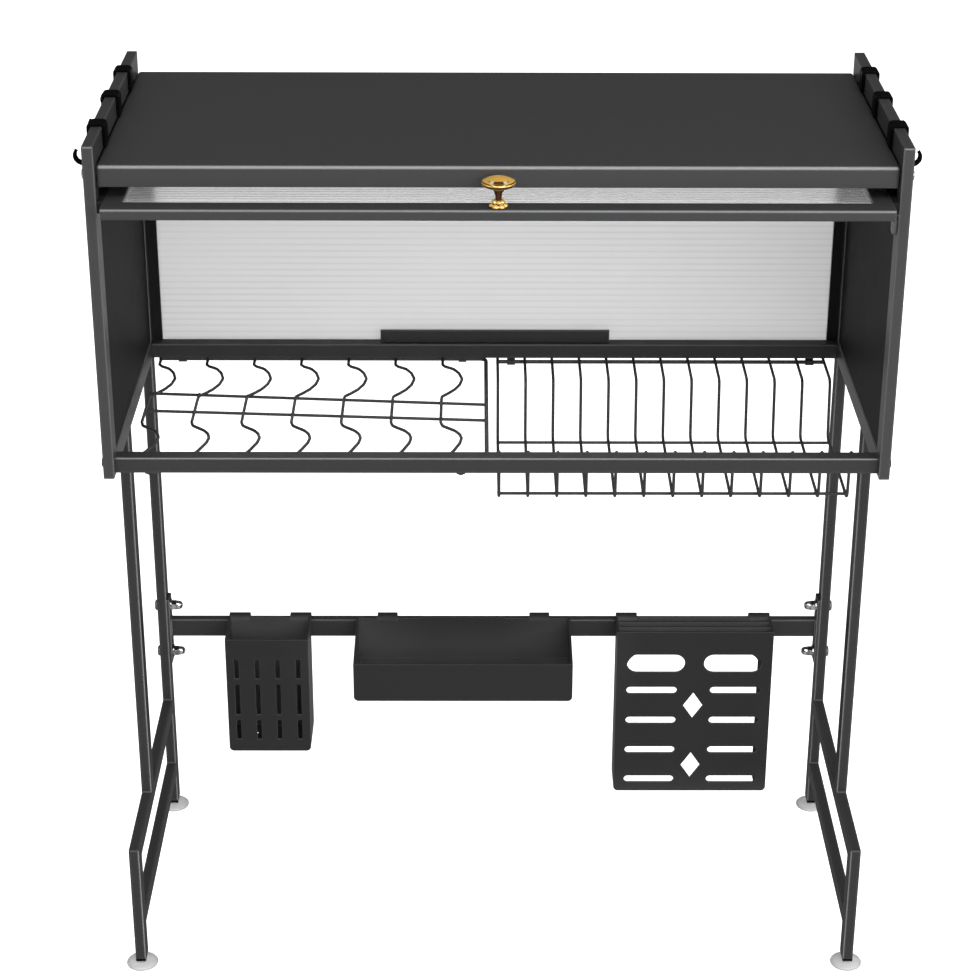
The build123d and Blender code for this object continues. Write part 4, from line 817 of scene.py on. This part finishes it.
def strap(name, path, widths, middle_y):
    """Flat bar with bevelled edges along a path of (x, z) points, as wide as said at each."""
    half_sheet = hook_sheet / 2
    rings = []
    for i, (x, z) in enumerate(path):
        half_width = widths[i] / 2
        section = [(half_width - hook_chamfer, half_sheet),
                   (half_width, half_sheet - hook_chamfer)]
        section += [(across, -out) for across, out in section[::-1]]
        section += [(-across, out) for across, out in section[::-1]]
        before = Vector(path[max(i - 1, 0)])
        after = Vector(path[min(i + 1, len(path) - 1)])
        along = (after - before).normalized()
        rings.append([(x - along.y * out, middle_y + across, z + along.x * out)
                      for across, out in section])
    made = skinned(name, rings)
    work = bmesh.new()
    work.from_mesh(made.data)
    bmesh.ops.recalc_face_normals(work, faces=work.faces)
    work.to_mesh(made.data)
    work.free()
    return made


strap_path = [(hook_inner_x, hook_foot_z)]
strap_path += arc((hook_inner_x + hook_bend, hook_top_z - hook_bend), hook_bend, 180.0, 90.0,
                  hook_bend_steps)
strap_path += arc((hook_outer_x - hook_bend, hook_top_z - hook_bend), hook_bend, 90.0, 0.0,
                  hook_bend_steps)
strap_widths = [hook_width] * len(strap_path)
strap_path += arc((hook_outer_x + curl_radius, curl_z), curl_radius, 180.0, curl_end, curl_steps)
strap_widths += [
    max(curl_tip_width,
        hook_width - (hook_width - curl_tip_width) * i / curl_steps / curl_taper_share)
    for i in range(curl_steps + 1)]
for side, sign in sides:
    for place, distance in hook_setbacks.items():
        hook = strap(f"side_hook_{place}_{side}_bent", [(sign * x, z) for x, z in strap_path],
                     strap_widths, set_back(distance))
        hook.data.materials.append(finishes["black_hook"])
        set_out(hook, f"hook_{place}_{side}", [f"side_hook_{place}_{side}"])

# Dome nuts on the crossbar's bolts: (radius, reach) from the leg towards the middle
nut_face_x = 340.5 * mm
leg_middle_y = 150.45 * mm
nut_heights = (194.0 * mm, 249.0 * mm)
hexagon = [(0.0, 0.0), (5.2, 0.0), (5.75, 0.5), (5.75, 4.6), (5.0, 5.2), (0.0, 5.2)]
dome = [(0.0, 4.8), (4.7, 4.8), (4.7, 7.0), (4.4, 8.6), (3.6, 10.1), (2.4, 11.1), (1.2, 11.6),
        (0.0, 11.8)]
nut_parts = []
for z in nut_heights:
    for label, profile, steps in (("hexagon", hexagon, 6), ("dome", dome, 32)):
        base = turned(f"nut_{label}", to_metres(profile), (0.0, 0.0), steps)
        for vertex in base.data.vertices:
            across, along, reach = vertex.co
            vertex.co = Vector((nut_face_x - reach, along, across))
        nut_parts.append(grown(f"nut_{label}s", base, round_copies, Count=len(sides),
                               Centre=(0.0, leg_middle_y, z), Coat=finishes["plated_steel"]))
set_out(joined("crossbar_dome_nuts", nut_parts), "rack", ["crossbar_nuts"],
        smooth_angle=30.0)

# Catch on the right front post: a plate with a round lower end, in layers of (x, share of the
# outline) from the post towards the middle
catch_y = set_back(10.0)
catch_reach = 4.8
catch_top_z = 777.0
catch_turn_z = 767.2
catch_turn_steps = 12
catch_middle_z = 769.0
catch_layers = ((345.0, 1.0), (342.4, 1.0), (341.4, 0.86), (341.0, 0.7))
catch_outline = [(-catch_reach, catch_top_z), (catch_reach, catch_top_z)]
catch_outline += arc((0.0, catch_turn_z), catch_reach, 0.0, -180.0, catch_turn_steps)
catch = skinned("door_catch_plate", [
    [(x * mm, catch_y + u * share * mm, (catch_middle_z + (w - catch_middle_z) * share) * mm)
     for u, w in catch_outline] for x, share in catch_layers])
catch.data.materials.append(catch_coat)
set_out(catch, "rack", ["door_catch"], smooth_angle=30.0)

# Floor and light. Shiny pieces see the floor's glow alone, and a dimmer room.
floor_side = 40.0
floor_white = 0.84
mirrored_glow = 0.5
room_level = 0.45
mirrored_level = 0.08
white = (1, 1, 1, 1)


def seen_white(tree, rays):
    """1 for what the camera sees, also through a clear sheet."""
    return maths(tree, "MAXIMUM", rays["Is Camera Ray"], rays["Is Transmission Ray"])


def backdrop_material():
    """Matt white that the camera and clear pieces see as plain white."""
    material = bpy.data.materials.new("studio_floor")
    material.use_nodes = True
    tree = material.node_tree
    tree.nodes.clear()
    rays = node(tree, "ShaderNodeLightPath").outputs
    glossy = rays["Is Glossy Ray"]
    strength = maths(tree, "MAXIMUM", seen_white(tree, rays),
                     maths(tree, "MULTIPLY", glossy, mirrored_glow))
    matt = node(tree, "ShaderNodeBsdfDiffuse", {"Color": (*[floor_white] * 3, 1)}).outputs[0]
    glow = node(tree, "ShaderNodeEmission", {"Strength": strength}).outputs[0]
    both = node(tree, "ShaderNodeAddShader", {0: matt, 1: glow}).outputs[0]
    mixed = node(tree, "ShaderNodeMixShader", {"Fac": glossy, 1: both, 2: glow}).outputs[0]
    node(tree, "ShaderNodeOutputMaterial", {"Surface": mixed})
    return material


def studio_world():
    """White behind the rack, and a soft grey room that lights it."""
    world = bpy.data.worlds.new("studio_room")
    scene.world = world
    world.use_nodes = True
    tree = world.node_tree
    tree.nodes.clear()
    rays = node(tree, "ShaderNodeLightPath").outputs
    level = maths(tree, "MULTIPLY_ADD", rays["Is Glossy Ray"], mirrored_level - room_level,
                  room_level)
    room = node(tree, "ShaderNodeBackground", {"Color": white, "Strength": level}).outputs[0]
    plain = node(tree, "ShaderNodeBackground", {"Color": white, "Strength": 1.0}).outputs[0]
    mixed = node(tree, "ShaderNodeMixShader", {"Fac": seen_white(tree, rays), 1: room, 2: plain})
    node(tree, "ShaderNodeOutputWorld", {"Surface": mixed.outputs[0]})


half = floor_side / 2
floor = mesh_object("studio_floor", [(-half, -half, 0), (half, -half, 0), (half, half, 0),
                                     (-half, half, 0)], faces=[(0, 1, 2, 3)])
floor.data.materials.append(backdrop_material())
studio_world()

# Each lamp: name, place, width, height and power in watts
lamp_target = Vector((0.0, 0.0, 0.5))
lamps = (("high_softbox", (0.0, -2.2, 3.0), 2.8, 1.4, 60.0),
         ("low_softbox", (1.5, -3.3, 1.75), 3.0, 1.0, 58.0),
         ("left_softbox", (-2.6, -0.9, 1.7), 1.4, 1.8, 8.0),
         ("right_softbox", (2.6, -0.9, 1.7), 1.4, 1.8, 20.0))
for name, place, width, height, power in lamps:
    lamp = bpy.data.lights.new(name, "AREA")
    lamp.shape = "RECTANGLE"
    lamp.size = width
    lamp.size_y = height
    lamp.energy = power
    softbox = add_object(name, lamp)
    softbox.location = place
    softbox.rotation_mode = "QUATERNION"
    softbox.rotation_quaternion = (lamp_target - Vector(place)).to_track_quat("-Z", "Y")

# Camera
forward = Vector((sin(camera_yaw) * cos(camera_drop), cos(camera_yaw) * cos(camera_drop),
                  -sin(camera_drop)))
level_right = Vector((cos(camera_yaw), -sin(camera_yaw), 0.0))
level_down = forward.cross(level_right)
image_right = cos(camera_roll) * level_right + sin(camera_roll) * level_down
image_down = cos(camera_roll) * level_down - sin(camera_roll) * level_right
camera_data = bpy.data.cameras.new("front_camera")
camera_data.sensor_width = sensor_width
camera_data.lens = focal_pixels / image_side * sensor_width
camera = add_object("front_camera", camera_data)
turned_axes = Matrix((image_right, -image_down, -forward)).transposed()
camera.matrix_world = Matrix.Translation(camera_place) @ turned_axes.to_4x4()
scene.camera = camera
scene.view_settings.view_transform = "Standard"

bpy.context.view_layer.update()
